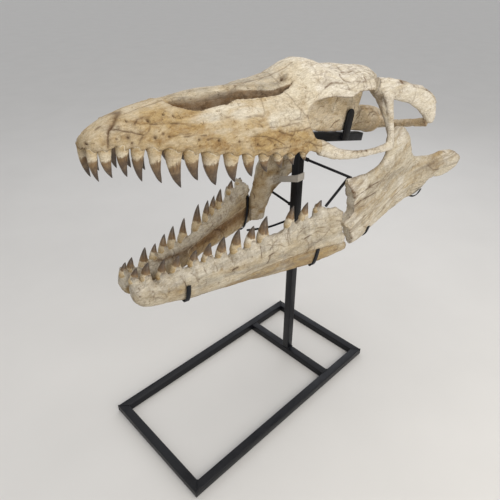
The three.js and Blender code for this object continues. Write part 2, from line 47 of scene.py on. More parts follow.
skull = {"tip": (-744, 0, 1101), "pitch": 10.5, "snoutEnd": 650, "barHalf": 18, "barUnder": 52,
         "roofThick": 18, "middleHalf": 132, "wallSpan": 0.4, "reach": 260, "under": -90, "over": 320}
leftJaw = {"tip": (-692, -22, 0), "yaw": -14.5, "length": 735}
rightJaw = {"tip": (-692, 20, 8), "yaw": 13.5, "length": 646}
leftRear = {"tip": (60, -188, 0), "yaw": 1.8, "flare": 23.5, "flareFrom": 380}
rightRear = {"tip": (-125, 134, 0), "yaw": -11}
fineness = {"skull": 2.2, "braincase": 2.6, "jaw": 2.1}      # size of the facets that carry the bone's relief


# small helpers

def placeOf(spec):
    yaw, pitch = math.radians(spec.get("yaw", 0)), math.radians(spec.get("pitch", 0))
    along = (math.cos(pitch) * math.cos(yaw), math.cos(pitch) * math.sin(yaw), -math.sin(pitch))
    across = (-math.sin(yaw), math.cos(yaw), 0)
    axes = np.array([along, across, np.cross(along, across)])
    return np.array(spec["tip"], float), axes


def toWorld(points, spec):
    tip, axes = placeOf(spec)
    return (tip + np.asarray(points, float) @ axes) * mm


def toBone(points, spec):
    tip, axes = placeOf(spec)
    return (points / mm - tip) @ axes.T


def curve(*points):
    # a smooth run through [x, value] pairs that never overshoots them
    x0, y0 = np.array(points, float).T
    secant = np.diff(y0) / np.diff(x0)
    before, after = np.r_[secant[0], secant], np.r_[secant, secant[-1]]
    total = before + after
    slope = np.where(before * after > 0, 2 * before * after / np.where(total == 0, 1, total), 0)

    def at(x):
        x = np.clip(np.asarray(x, float), x0[0], x0[-1])
        k = np.clip(np.searchsorted(x0, x, side="left") - 1, 0, len(x0) - 2)
        wide = x0[k + 1] - x0[k]
        t = (x - x0[k]) / wide
        u = 1 - t
        return ((1 + 2 * t) * u * u * y0[k] + t * u * u * wide * slope[k]
                + t * t * (3 - 2 * t) * y0[k + 1] - t * t * u * wide * slope[k + 1])
    return at


def ease(value, low, high):
    t = np.clip((value - low) / (high - low), 0, 1)
    return t * t * (3 - 2 * t)


def bump(distance, width):
    return np.exp(-(distance / width) ** 2)


def power(value, exponent):
    return np.sign(value) * np.abs(value) ** exponent


def unit(rows):
    return rows / np.linalg.norm(rows, axis=1)[:, None]


def roundTurn(count):
    return np.linspace(0, 2 * math.pi, count, endpoint=False)


def scatter(cells, seed):
    # a repeatable random number from 0 to 1 for each whole-numbered cell, by mixing large primes
    x, y, z = np.moveaxis(cells, -1, 0)
    mixed = (x * 73856093) ^ (y * 19349663) ^ (z * 83492791) ^ (seed * 2654435761)
    mixed = (mixed ^ (mixed >> 13)) * 1274126177
    mixed = mixed ^ (mixed >> 16)
    return (mixed & 0xFFFFF) / 0xFFFFF


def noise(points, size, seed):
    # soft lumps from -1 to 1, about size millimetres across
    p = points / np.asarray(size, float) + seed * 7.3
    cell = np.floor(p).astype(np.int64)
    t = p - cell
    t = t * t * (3 - 2 * t)
    total = np.zeros(len(points))
    for corner in np.ndindex(2, 2, 2):
        weight = np.prod(np.where(corner, t, 1 - t), axis=1)
        total += weight * scatter(cell + np.array(corner), seed)
    return total * 2 - 1


def pits(points, size, radius, share, seed):
    # round hollows thrown over a surface: 1 in the middle of each, 0 away from it
    p = points / size
    home = np.floor(p).astype(np.int64)
    deep = np.zeros(len(points))
    for step in np.ndindex(3, 3, 3):
        cell = home + np.array(step) - 1
        centre = cell + np.stack([scatter(cell, seed + k) for k in range(3)], axis=1)
        away = np.linalg.norm(p - centre, axis=1) * size
        wide = radius * (0.6 + 0.8 * scatter(cell, seed + 4))
        deep = np.maximum(deep, np.where(scatter(cell, seed + 3) < share, bump(away, wide), 0))
    return deep


def wander(points, step, amount, seed):
    # a broken line redrawn with small random bends
    fine = [np.array(points[0], float)]
    for a, b in zip(points[:-1], points[1:]):
        a, b = np.array(a, float), np.array(b, float)
        count = max(1, int(np.linalg.norm(b - a) / step))
        fine += [a + (b - a) * k / count for k in range(1, count + 1)]
    fine = np.array(fine)
    ends = np.minimum(np.arange(len(fine)), np.arange(len(fine))[::-1])
    p = np.c_[fine, np.zeros(len(fine))]
    shift = np.stack([noise(p, 9, seed) + 0.6 * noise(p, 4, seed + 1), noise(p, 9, seed + 2)], axis=1)
    return fine + shift * amount * np.minimum(ends, 2)[:, None] / 2


def lineDistance(points, line):
    # distance in a plane from each point to a broken line
    best = np.full(len(points), 1e9)
    for a, b in zip(line[:-1], line[1:]):
        along = b - a
        t = np.clip((points - a) @ along / max(along @ along, 1e-9), 0, 1)
        best = np.minimum(best, np.linalg.norm(points - a - t[:, None] * along, axis=1))
    return best


# meshes

def select(*objects):
    bpy.ops.object.select_all(action="DESELECT")
    for item in objects:
        item.select_set(True)
    bpy.context.view_layer.objects.active = objects[-1]


def finishModifier(item, kind, **settings):
    select(item)
    modifier = item.modifiers.new("step", kind)
    for name, value in settings.items():
        setattr(modifier, name, value)
    bpy.ops.object.modifier_apply(modifier="step")
    return item


def editAll(item, *steps):
    # runs each step of edit mode on the whole mesh
    select(item)
    bpy.ops.object.mode_set(mode="EDIT")
    bpy.ops.mesh.select_all(action="SELECT")
    for step in steps:
        step()
    bpy.ops.object.mode_set(mode="OBJECT")
    return item


def read(rows, key, wide=1, kind=np.float32):
    flat = np.empty(len(rows) * wide, kind)
    rows.foreach_get(key, flat)
    return flat.reshape(-1, wide) if wide > 1 else flat


def coordinates(item):
    return read(item.data.vertices, "co", 3).astype(float)


def setCoordinates(item, points):
    item.data.vertices.foreach_set("co", points.astype(np.float32).ravel())
    item.data.update()


def normals(item):
    return read(item.data.vertex_normals, "vector", 3).astype(float)


def edgeEnds(item):
    return read(item.data.edges, "vertices", 2, np.int32).T


# two of these marks darken the colour: one is painted shade alone, the other the dark of cracks and edges
# with painted shade in holes, pores and hollows
markNames = ("crevice", "recess", "stain", "chalk", "grey")     # painted on the points, read by the materials


def setMark(item, name, values):
    mark = item.data.attributes.get(name) or item.data.attributes.new(name, "FLOAT", "POINT")
    mark.data.foreach_set("value", np.asarray(values, np.float32))


def readMarks(item):
    return {name: read(item.data.attributes[name].data, "value") for name in markNames}


def restoreMarks(pieces, points, marks):
    # the points that a cut adds take the marks of the nearest point of the surface that was cut
    tree = kdtree.KDTree(len(points))
    for k, point in enumerate(points):
        tree.insert(point, k)
    tree.balance()
    for piece in pieces:
        nearest = [tree.find(point)[1] for point in coordinates(piece)]
        for name, values in marks.items():
            setMark(piece, name, values[nearest])


def addMesh(name, points, faces, spec, *steps):
    mesh = bpy.data.meshes.new(name)
    mesh.from_pydata(toWorld(points, spec).tolist(), [], faces)
    item = bpy.data.objects.new(name, mesh)
    bpy.context.scene.collection.objects.link(item)
    return editAll(item, *steps, lambda: bpy.ops.mesh.normals_make_consistent(inside=False))


def skin(name, rings, spec):
    # a closed surface over a row of rings, given in bone millimetres
    rings = np.asarray(rings, float)
    rows, sides = rings.shape[:2]
    points = np.concatenate([rings.reshape(-1, 3), rings[0].mean(0)[None], rings[-1].mean(0)[None]])
    j = np.arange(sides)
    k = (j + 1) % sides
    quads = [np.stack([r * sides + j, r * sides + k, (r + 1) * sides + k, (r + 1) * sides + j], 1)
             for r in range(rows - 1)]
    first, last = rows * sides, rows * sides + 1
    caps = [[first, b, a] for a, b in zip(j, k)]
    caps += [[last, (rows - 1) * sides + a, (rows - 1) * sides + b] for a, b in zip(j, k)]
    return addMesh(name, points, np.concatenate(quads).tolist() + caps, spec)


# what a face cut by a prism looks like: stained, and dark with painted shade, as cut faces lie between bones
# and in breaks
cutFace = {"crevice": 0.8, "recess": 0.8, "stain": 0.6, "chalk": 0, "grey": 0}


def prism(outline, plane, low, high, spec):
    # an outline pulled straight through a bone: plane is "side" (x, z) or "plan" (x, y)
    outline = np.asarray(outline, float)
    count = len(outline)
    flat = np.zeros((2, count, 3))
    for row, level in enumerate((low, high)):
        flat[row, :, 0] = outline[:, 0]
        flat[row, :, 2 if plane == "side" else 1] = outline[:, 1]
        flat[row, :, 1 if plane == "side" else 2] = level
    around = np.arange(count)
    after = (around + 1) % count
    faces = np.stack([around, after, after + count, around + count], 1).tolist()
    faces += [around[::-1].tolist(), (around + count).tolist()]
    item = addMesh("prism", flat.reshape(-1, 3), faces, spec, bpy.ops.mesh.quads_convert_to_tris)
    for mark, value in cutFace.items():
        setMark(item, mark, np.full(2 * count, value))
    return item


def carve(item, tool, operation, keepTool=False):
    finishModifier(item, "BOOLEAN", object=tool, operation=operation, solver="MANIFOLD")
    if not keepTool:
        bpy.data.objects.remove(tool)
    return item


def copyOf(item, name):
    twin = item.copy()
    twin.data = item.data.copy()
    twin.name = name
    bpy.context.scene.collection.objects.link(twin)
    return twin


def flip(item):
    # carries a mesh over to the other side of the middle plane
    setCoordinates(item, coordinates(item) * (1, -1, 1))
    item.data.flip_normals()
    return item


def mirrorOf(item):
    return flip(copyOf(item, item.name + "Right"))


def merge(*items):
    select(*items[::-1])
    bpy.ops.object.join()
    return items[0]


def remesh(item, size, passes):
    finishModifier(item, "REMESH", mode="VOXEL", voxel_size=size * mm, use_smooth_shade=True)
    finishModifier(item, "SMOOTH", factor=0.5, iterations=passes)
    return item


def splitOff(rest, name, region):
    # a bone is the part of the shell inside its region
    piece = copyOf(rest, name)
    carve(piece, region, "INTERSECT", keepTool=True)
    carve(rest, region, "DIFFERENCE")
    return dropCrumbs(piece)


def dropCrumbs(item):
    # keeps the largest connected body of a mesh and deletes the slivers that a cut leaves
    a, b = edgeEnds(item)
    home = np.arange(len(item.data.vertices))
    while True:
        low = np.minimum(home[a], home[b])
        former = home.copy()
        np.minimum.at(home, a, low)
        np.minimum.at(home, b, low)
        home = home[home]
        if np.array_equal(home, former):
            break
    crumb = home != np.bincount(home).argmax()
    if crumb.any():
        editAll(item, lambda: bpy.ops.mesh.select_all(action="DESELECT"))
        item.data.vertices.foreach_set("select", crumb)
        bpy.ops.object.mode_set(mode="EDIT")
        bpy.ops.mesh.delete(type="VERT")
        bpy.ops.object.mode_set(mode="OBJECT")
    return item


def between(at, first, last, low, high):
    # first where at is low, last where it is high, evenly changing in between
    return first * (high - at) / (high - low) + last * (at - low) / (high - low)


def smoothPath(points, count):
    # centripetal curve through given points
    p = np.array(points, float)
    p = np.vstack([2 * p[0] - p[1], p, 2 * p[-1] - p[-2]])
    result = []
    for t in np.linspace(0, len(points) - 1, count):
        i = min(int(t), len(points) - 2)
        w = t - i
        a, b, c, d = p[i:i + 4]
        knots = np.cumsum([0] + [np.linalg.norm(q - r) ** 0.5 for q, r in ((b, a), (c, b), (d, c))])
        u = knots[1] + w * (knots[2] - knots[1])
        ab, bc, cd = (between(u, *pair, *knots[j:j + 2]) for j, pair in enumerate(((a, b), (b, c), (c, d))))
        abc, bcd = between(u, ab, bc, *knots[[0, 2]]), between(u, bc, cd, *knots[[1, 3]])
        result.append(between(u, abc, bcd, *knots[1:3]))
    return np.array(result)


def frameAlong(path, up):
    # unit vectors square to a path: one to the side, one square to that too
    ahead = unit(np.gradient(path, axis=0))
    side = unit(np.cross(ahead, up))
    return side, np.cross(side, ahead)


def ringsAt(path, first, firstBy, second, secondBy):
    # a ring of points round each point of a path, spread along two directions
    return path[:, None] + first[:, None] * firstBy[..., None] + second[:, None] * secondBy[..., None]


def strutRings(rows, up=(0, 0, 1), sides=28, count=90):
    # oval sections along a path; rows are x, y, z, half height, half thickness
    rows = np.array(rows, float)
    path = smoothPath(rows[:, :3], count)
    knots, t = np.linspace(0, 1, len(rows)), np.linspace(0, 1, count)
    high, thick = (curve(*zip(knots, rows[:, k]))(t)[:, None] for k in (3, 4))
    side, rise = frameAlong(path, up)
    a = roundTurn(sides)
    return ringsAt(path, rise, high * np.sin(a), side, thick * np.cos(a))


print("helpers ready")


# cranium: its outlines, in its own frame

crest = curve([0, 20], [6, 36], [20, 49], [45, 65], [80, 82], [120, 96], [184, 114], [250, 130], [304, 141],
              [413, 155], [478, 172], [536, 186], [606, 211], [645, 229], [696, 241], [755, 228], [837, 220],
              [870, 229], [898, 235], [1040, 237], [1078, 224])
gumWidth = curve([0, 18], [8, 30], [30, 43], [76, 62], [150, 90], [250, 117], [379, 138], [545, 152],
                 [650, 160], [720, 164])
gumHeight = curve([0, 9], [20, 14], [80, 25], [170, 22], [300, 11], [450, 2], [545, -1], [650, 0])
fullness = curve([0, 2.1], [120, 1.9], [300, 1.95], [420, 1.85], [540, 1.6], [640, 1.9], [700, 2.3])
roofHalf = curve([655, 126], [700, 130], [780, 136], [860, 146], [905, 150], [945, 112], [985, 60],
                 [1078, 44])
roofEdge = curve([655, 150], [800, 151], [812, 156], [836, 171], [905, 176], [960, 186], [1078, 204])
nostrilSide = curve([200, 26], [206, 43], [220, 54], [248, 69], [280, 76], [342, 75], [388, 64], [424, 68],
                    [506, 73], [570, 71], [598, 67])
nostrilInner = curve([200, 16.4], [404, 16.4], [424, 25], [442, 37], [474, 47], [496, 51], [538, 57],
                     [562, 58], [580, 61], [598, 65])
nostrilFloor = curve([200, 84], [250, 54], [500, 70], [560, 110], [598, 150])
bars = {
    "temple": [[905, -146, 190, 26, 30], [950, -174, 187, 31, 20], [1040, -188, 178, 30, 15],
               [1124, -196, 165, 35, 16], [1178, -206, 142, 37, 18], [1202, -212, 110, 27, 18],
               [1208, -214, 84, 13, 16]],
    "cheek": [[926, -168, 196, 36, 14], [944, -181, 160, 23, 11], [956, -184, 134, 16, 10.5],
              [972, -188, 96, 14, 10], [990, -193, 50, 15, 10], [1002, -195, 8, 27, 9.5]],
    "flange": [[926, -132, 186, 14, 24], [938, -154, 158, 13, 20], [952, -170, 124, 11, 15],
               [970, -182, 88, 9, 11], [990, -191, 42, 8, 8]],
    "jugal": [[596, -140, 20, 18, 10], [640, -156, 15, 22, 11], [684, -168, 3, 20, 11],
              [724, -174, -7, 17, 10], [790, -182, -13, 14, 9], [880, -189, -10, 11, 8],
              [960, -193, -1, 14, 8.5], [1018, -195, 10, 18, 8.5]],
    "ear": [[1168, -30, 52, 26, 22], [1184, -80, 54, 15, 15], [1192, -140, 66, 14, 14],
            [1200, -212, 84, 16, 16]],
}
upperTeeth = {
    # station along the gum, height of the tip, radius of the root, how far back the tip leans
    "rows": [(21, -62, 12.5, 15), (44, -53, 14.5, 19), (79, -49, 16, 13), (111, -60, 16.5, 13),
             (147, -66, 18.5, 24), (191, -80, 20.5, 30), (235, -63, 21, 28), (292, -80, 26, 27),
             (348, -74, 21, 25), (402, -62, 19, 24), (452, -52, 16, 22), (504, -44, 15, 24),
             (552, -37, 13, 20), (600, -26, 11, 16)],
    "inPremaxilla": 2}


def rootSide(x, radius):
    # how far out an upper root stands; the first ones tuck in behind the end of the snout
    return -gumWidth(x) + radius * (1.04 + 0.36 * (1 - ease(x, 20, 62)))


# how many points each part of a ring has
ringPoints = {"snout": 110, "vault": 30, "roof": 70, "ceiling": 40}


def gumEdge(x):
    return gumHeight(x) - 3                         # the remesh rounds the lower edge off by as much


def snoutRing(x):
    half, low, count = gumWidth(x), gumEdge(x), ringPoints["snout"]
    high, exponent = crest(x) - low, 2 / fullness(x)
    a = np.linspace(0, math.pi, count)
    wall = np.stack([np.full(count, x), -half * power(np.cos(a), exponent),
                     low + high * np.sin(a) ** exponent], 1)
    wall[[0, -1], 2] = low
    f = np.linspace(0.94, -0.94, ringPoints["vault"])
    vault = min(14, half * 0.2) * ease(1 - np.abs(f), 0, 0.5)
    return np.concatenate([wall, np.stack([np.full(len(f), x), f * half, low + vault], 1)])


def roofUnder(x, f):
    edge = roofEdge(x)
    return edge - skull["roofThick"] + (crest(x) - edge - skull["roofThick"]) * (1 - f * f)


def roofRing(x):
    half, edge = roofHalf(x), roofEdge(x)
    a = np.linspace(0, math.pi, ringPoints["roof"])
    y, z = -half * np.cos(a), edge + (crest(x) - edge) * np.sin(a)
    level = skinTop(x, y)                       # the front of the roof grows out of the snout without a step
    z = np.where(z > level, level + (z - level) * ease(x, 652, 716), z)
    top = np.stack([np.full(len(a), x), y, z], 1)
    f = np.linspace(0.92, -0.92, ringPoints["ceiling"])
    return np.concatenate([top, np.stack([np.full(len(f), x), f * half, roofUnder(x, f)], 1)])


def skinTop(x, y):
    # height of the snout's outer surface
    low = gumEdge(x)
    across = np.clip(np.abs(y) / gumWidth(x), 0, 1) ** (fullness(x) / 2)
    return low + (crest(x) - low) * (1 - across ** 2) ** (1 / fullness(x))


def nostrilTool(name):
    # leaves a bar between the nostrils that is rounded on top and widens into the forehead
    rings = []
    for x in np.linspace(200, 598, 80):
        outer, inner, floor = nostrilSide(x), nostrilInner(x), nostrilFloor(x)
        top, gap = skinTop(x, inner), outer - inner
        corners = [(inner - 9, 280), (outer + 8, 280), (outer, floor + 30), (outer - 0.12 * gap, floor + 9),
                   (outer - 0.4 * gap, floor), (inner + min(8, 0.3 * gap), floor + 4),
                   (inner + min(4, 0.2 * gap), top - 26), (inner, top - 11), (inner - 9, top + 0.5)]
        rings.append([(x, -y, z) for y, z in corners])
    return skin(name, rings, skull)


def socket(x, radius):
    # the bone that swells round an upper tooth, as one lump on each side; shallow ones at the snout's end
    y, z = rootSide(x, radius) - 0.04 * radius, gumHeight(x)
    tall = min(1, 0.2 + x / 105)
    back = 9 * (1 - tall)
    rows = [(x - 5 + back, y * 0.80, z + 44 * tall, radius * 0.5, radius * 0.4),
            (x - 3 + back, y * 0.92, z + 24 * tall, radius * 0.8, radius * 0.66),
            (x - 1 + back / 2, y * 0.985, z + 9 * tall, radius * 0.95, radius * 0.86),
            (x + 1, y, z - 3, radius * 0.97, radius * 0.9), (x + 2, y, z - 6, radius * 0.84, radius * 0.76)]
    lump = skin("socket", strutRings(rows, (1, 0, 0), 24, 22), skull)
    return [lump, mirrorOf(lump)]


def skullShell():
    stations = np.r_[0, 1, 2.5, 4.5, 7, 10:706:4, 706]
    shell = skin("shell", [snoutRing(x) for x in stations], skull)
    roof = skin("roof", [roofRing(x) for x in np.linspace(655, 1078, 107)], skull)
    carve(shell, roof, "UNION")
    left = nostrilTool("nostril")
    right = mirrorOf(left)
    carve(shell, left, "DIFFERENCE")
    carve(shell, right, "DIFFERENCE")
    under, reach = skull["under"], skull["reach"]
    upper = [(611, 84, 0), (612, 104, 0), (627, 124, 0), (664, 142, 0), (712, 150, 0), (796, 150, 0),
             (812, 155, 0), (830, 166, 0), (860, 172, 0), (1000, 178, 0)]
    front = [(648, -60, 0), (642, 0, 0), (638, 36, 0), (620, 60, 0)]
    lower = [(1000, 2, 0), (760, 0, 0), (712, 9, 0), (676, 17, 0), (652, 28, 0), (632, 42, 0), (619, 61, 0)]
    middle = np.vstack([smoothPath(front + upper, 90)[:, :2], [(1000, under), (648, under)]])
    rim = smoothPath(lower + upper, 110)[:, :2]
    for outline, half in ((middle, skull["middleHalf"]), (rim, reach)):
        carve(shell, prism(outline, "side", -half, half, skull), "DIFFERENCE")
    strips = []
    for name in ("temple", "cheek", "flange", "jugal"):
        up = (1, 0, 0) if name in ("cheek", "flange") else (0, 0, 1)
        strip = skin(name, strutRings(bars[name], up), skull)
        strips += [strip, mirrorOf(strip)]
    for x, _, radius, _ in upperTeeth["rows"]:
        strips += socket(x, radius)
    merge(shell, *strips)
    return remesh(shell, fineness["skull"], 3)


shell = skullShell()
print("cranium shell:", len(shell.data.polygons), "facets")


# relief: what cracks, holes and weather leave on a bone

def randomCracks(count, area, seed, wide=(1.5, 2.4), deep=(0.5, 1.5), slope=0.0):
    # short broken lines that run roughly along the bone: area is low x, low z, high x, high z
    chance = np.random.default_rng(seed)
    lines = []
    for _ in range(count):
        point = np.array([chance.uniform(area[0], area[2]), chance.uniform(area[1], area[3])])
        heading = slope + chance.normal(0, 0.25)
        line = [point]
        for _ in range(chance.integers(3, 7)):
            heading += chance.normal(0, 0.35)
            line.append(line[-1] + chance.uniform(7, 18) * np.array([math.cos(heading), math.sin(heading)]))
        lines.append((line, chance.uniform(*wide), chance.uniform(*deep)))
    return lines


def cutLines(flat, where, lines, seed):
    # depth and darkness of broken lines drawn on the points where `where` holds; the darkness is the dark of
    # a crack with painted shade in it
    depth, dark = np.zeros(len(flat)), np.zeros(len(flat))
    for k, (line, wide, deep) in enumerate(lines):
        line = wander(line, 5, 1.3, seed + 3 * k)
        near = where & np.all(flat > line.min(0) - 6, axis=1) & np.all(flat < line.max(0) + 6, axis=1)
        if near.any():
            away = lineDistance(flat[near], line)
            here = np.c_[flat[near], np.zeros(near.sum())]
            strong = 0.4 + 0.6 * ease(noise(here, 16, seed + 3 * k + 1), -0.6, 0.3)
            depth[near] = np.maximum(depth[near], deep * strong * bump(away, wide))
            dark[near] = np.maximum(dark[near], min(1, 0.32 + deep / 3) * strong * bump(away, wide))
    return depth, dark


def cutHoles(flat, where, holes, lift):
    # each hole sinks and is darkened with painted shade
    depth, dark = np.zeros(len(flat)), np.zeros(len(flat))
    for x, z, radius in holes:
        away = np.linalg.norm(flat - (x, z + lift), axis=1)
        near = where & (away < 4 * radius)
        depth[near] = np.maximum(depth[near], 1.5 * radius * bump(away[near], radius))
        dark[near] = np.maximum(dark[near], bump(away[near], radius * 1.25))
    return depth, dark


def weathering(p, seed, grain):
    # the surface every bone shares: soft lumps, fibres that run along it, scaled-off patches and pores; the
    # pores are darkened with painted shade, the rims of the patches darkened too
    lift = 1.1 * noise(p, 60, seed) + 0.75 * noise(p, 23, seed + 1) + 0.55 * noise(p, 11, seed + 2)
    lift += 0.62 * noise(p, grain, seed + 3) + 0.3 * noise(p, np.array(grain) * 0.45, seed + 4)
    scale = noise(p, (38, 20, 20), seed + 5) + 0.5 * noise(p, 9, seed + 6)
    flaked = ease(scale, 0.42, 0.52)
    edge = bump(scale - 0.46, 0.05)
    pore = pits(p, 19, 2.0, 0.16, seed + 7)
    lift -= 1.2 * flaked + 1.4 * pore
    return lift, 0.38 * edge + 0.75 * pore + 0.08 * flaked


def standingOut(item, passes=12, gain=0.3):
    # 1 on points that stand far out of the smoothed surface round them, 0 on flat and hollow places
    a, b = edgeEnds(item)
    points = coordinates(item)
    count = len(points)
    shares = np.bincount(a, minlength=count) + np.bincount(b, minlength=count)
    soft = points.copy()
    for _ in range(passes):
        soft = np.stack([(np.bincount(a, soft[b, k], count) + np.bincount(b, soft[a, k], count)) / shares
                         for k in range(3)], 1)
    return np.clip(((points - soft) * normals(item)).sum(1) / mm * gain, 0, 1)


class Relief:
    # what is carved into one bone and how dark that gets, gathered up before its points are moved

    def __init__(self, item, spec, seed, grain=(42, 7, 7), turned=None):
        self.item, self.axes = item, placeOf(spec)[1]
        self.points = coordinates(item)
        self.p = toBone(self.points, spec)
        self.n = normals(item) @ self.axes.T
        x, y, z = self.p.T
        self.side, self.plan = np.stack([x, z], 1), np.stack([x, y], 1)
        self.along = self.p if turned is None else self.p @ np.array(turned)
        self.lift, self.dark = weathering(self.along, seed, grain)

    def darken(self, dark):
        self.dark = np.maximum(self.dark, dark)

    def sink(self, depth, dark):
        self.lift -= depth
        self.darken(dark)

    def crack(self, where, lines, seed, flat=None):
        self.sink(*cutLines(self.side if flat is None else flat, where, lines, seed))

    def pierce(self, where, holes, lower=0):
        self.sink(*cutHoles(self.side, where, holes, lower))

    def press(self, drop=0, **marks):
        # moves the points out by the lift and down by the drop, then paints the marks; the gathered dark,
        # with its painted shade of holes and hollows, goes on, and edges go dark too
        moved = self.points + (self.n * self.lift[:, None] @ self.axes) * mm
        setCoordinates(self.item, moved - np.outer(drop, self.axes[2]) * mm)
        marks["crevice"] = self.dark + 0.8 * standingOut(self.item) + marks.get("crevice", 0)
        for name in markNames:
            setMark(self.item, name, np.clip(marks.get(name, np.zeros(len(moved))), 0, 1))


# cranium: relief of the bone surface

cheekMarks = {
    # broken lines seen from the left: points (x, z), half width, depth
    "cracks": [
        ([(73, 75), (64, 67), (57, 61), (51, 56), (47, 49)], 2.6, 2.4),
        ([(47, 49), (44, 40), (43, 32), (42, 24)], 1.9, 1.8),
        ([(55, 58), (72, 58), (87, 56), (103, 53), (114, 51)], 1.8, 1.8),
        ([(114, 50), (127, 58), (134, 66), (136, 74), (135, 79), (128, 83), (115, 80), (104, 71)], 1.8, 1.3),
        ([(135, 73), (145, 73), (161, 74), (186, 76), (202, 77), (219, 74), (236, 71)], 1.8, 1.5),
        ([(114, 50), (108, 42), (103, 33)], 1.8, 1.0),
        ([(204, 50), (218, 51), (235, 54), (260, 53)], 1.9, 1.3),
        ([(29, 54), (42, 62)], 2.2, 1.2),
        ([(171, 48), (196, 54), (220, 56)], 1.8, 0.9),
        ([(261, 43), (280, 46), (296, 46)], 1.8, 1.4),
        ([(388, 50), (448, 48), (483, 38), (511, 25)], 1.8, 1.5),
        ([(550, 58), (580, 61), (610, 68)], 1.8, 1.3),
        ([(461, 69), (518, 71), (575, 80)], 1.8, 1.2),
        ([(465, 14), (511, 18), (561, 13)], 1.8, 1.1),
        ([(310, 88), (352, 96), (395, 92), (430, 98)], 1.8, 0.9),
    ],
    # small holes for nerves and blood vessels: x, z, radius
    "holes": [(5, 24, 2.8), (60, 40, 2.0), (83, 44, 3.2), (89, 33, 2.4), (138, 46, 3.0), (157, 55, 2.2),
              (169, 49, 2.2), (134, 79, 2.8), (91, 75, 2.0), (194, 91, 2.2), (173, 92, 2.0), (240, 44, 2.4),
              (293, 42, 3.0), (352, 38, 2.8), (412, 30, 2.6), (474, 26, 2.6), (534, 20, 2.4)],
}
cheekZones = {
    # soft coloured areas of both cheeks: x, z, half length, half height, strength
    "brown": [(232, 84, 42, 30, 0.75), (200, 66, 46, 16, 0.4), (470, 42, 66, 22, 0.9),
              (100, 40, 70, 18, 0.35), (160, 96, 34, 14, 0.25), (300, 44, 60, 16, 0.3),
              (444, 129, 60, 5, 0.5), (110, 70, 20, 12, 0.3), (90, 88, 40, 6, 0.3), (560, 46, 40, 18, 0.6)],
    "light": [(281, 92, 60, 13, 1.0), (390, 102, 60, 11, 0.8), (482, 78, 22, 16, 1.0), (330, 112, 70, 7, 0.8),
              (310, 62, 30, 6, 0.4), (540, 92, 60, 22, 0.5), (404, 60, 40, 8, 0.5)]}
sutures = {
    "premaxilla": wander([(60.5, -90), (60.5, 20), (52, 26), (43, 30), (44, 40), (47, 49), (51, 56), (57, 61),
                          (64, 67), (73, 75), (84, 83), (96, 90), (100, 320)], 6, 0.8, 11),
    "cheek": wander([(720, 40), (650, 52), (600, 96), (560, 150), (520, 320)], 7, 3.0, 12),
    "brow": wander([(500, -62), (690, -62), (770, -96), (770, -260)], 8, 2.5, 13),
    "wing": wander([(1200, -64), (845, -64), (845, -260)], 8, 2.5, 14),
    "midline": wander([(884, -260), (884, 260)], 7, 5.0, 15),
    "temple": wander([(1092, -60), (1060, -260)], 6, 3.0, 16),
}
roofMarks = [([(859, -23), (838, -48), (822, -70), (848, -74), (873, -77)], 2.6, 3.4),
             ([(799, -77), (788, -90), (781, -102), (820, -117), (858, -131)], 2.6, 3.2),
             ([(879, -114), (871, -132)], 2.2, 2.4), ([(762, -119), (678, -120)], 2.0, 1.6),
             ([(700, -30), (716, 12), (708, 48)], 1.8, 1.5),
             ([(940, -30), (980, -18), (1024, -24)], 1.9, 1.7)]
# stepped plates of the roof: size of the lumps, where each step starts and ends, rise, seed
roofPlates = [((70, 46, 400), 0.05, 0.12, 1.7, 41), ((40, 30, 400), 0.2, 0.26, 1.2, 42)]
# how far up the snout the brown stain reaches, and the least of it at each station
stainLimit = curve([0, 62], [44, 70], [80, 84], [130, 92], [200, 108], [300, 104], [400, 92], [500, 80],
                   [640, 60])
stainLeast = curve([0, 0.33], [120, 0.31], [240, 0.28], [450, 0.3], [560, 0.2], [650, 0.08])
# depth below the snout's skin at which the shade in the nostrils starts, and how far on it is full
nostrilShade = {"from": curve([200, 2], [300, 7], [390, 6], [440, 2], [600, 1]),
                "over": curve([200, 14], [300, 24], [390, 18], [440, 10], [600, 7])}


def carveCheeks(relief, outward):
    # cracks and holes of the left cheek, and others of the same kind on the right
    left = relief.p[:, 1] < 0
    own = cheekMarks["cracks"] + randomCracks(16, (400, 10, 640, 110), 5)
    others = randomCracks(26, (60, 20, 640, 100), 9, (1.0, 2.0), (0.7, 2.4))
    for where, lines, lower, seed in ((outward & left, own, 0, 31), (outward & ~left, others, -5, 71)):
        relief.crack(where, lines, seed)
        relief.pierce(where, cheekMarks["holes"], lower)


def carveRoof(relief, faceUp):
    p, (x, y, z) = relief.p, relief.p.T
    cracks = roofMarks + randomCracks(9, (640, -110, 1070, 110), 13, deep=(0.5, 1.3))
    relief.crack(faceUp, cracks, 91, relief.plan)
    step, edge = 0, 0
    for size, low, high, rise, seed in roofPlates:
        level = noise(p, size, seed)
        step = step + rise * ease(level, low, high)
        edge = edge + bump(level - low - 0.01, 0.03)
    onRoof = faceUp * ease(x, 640, 690)
    relief.sink(-step * onRoof, 0.5 * edge * onRoof)

    # a straight ridge along the edge of the roof over the eye, with painted shade in the groove beside it
    rim = np.abs(y) - roofHalf(x) + 16 - 2 * noise(p, 30, 79)
    over = faceUp * ease(x, skull["snoutEnd"], 690) * (1 - ease(x, 850, 890))
    relief.sink(over * (2.6 * bump(rim + 13, 7) - 3.0 * bump(rim, 5)), 0.35 * over * bump(rim + 8, 2.0))

    # a hollow in the forehead over the rear of the nostril, dark with painted shade
    away = np.hypot((x - 578) / 12, (np.abs(y) - 42 + 0.3 * (x - 578)) / 6) * np.where(z > 150, 1, 9)
    away = away + 0.25 * noise(p, 6, 43)
    hollow = bump(away, 1)
    relief.sink(11 * hollow - 1.6 * bump(away - 1.9, 0.7), hollow)


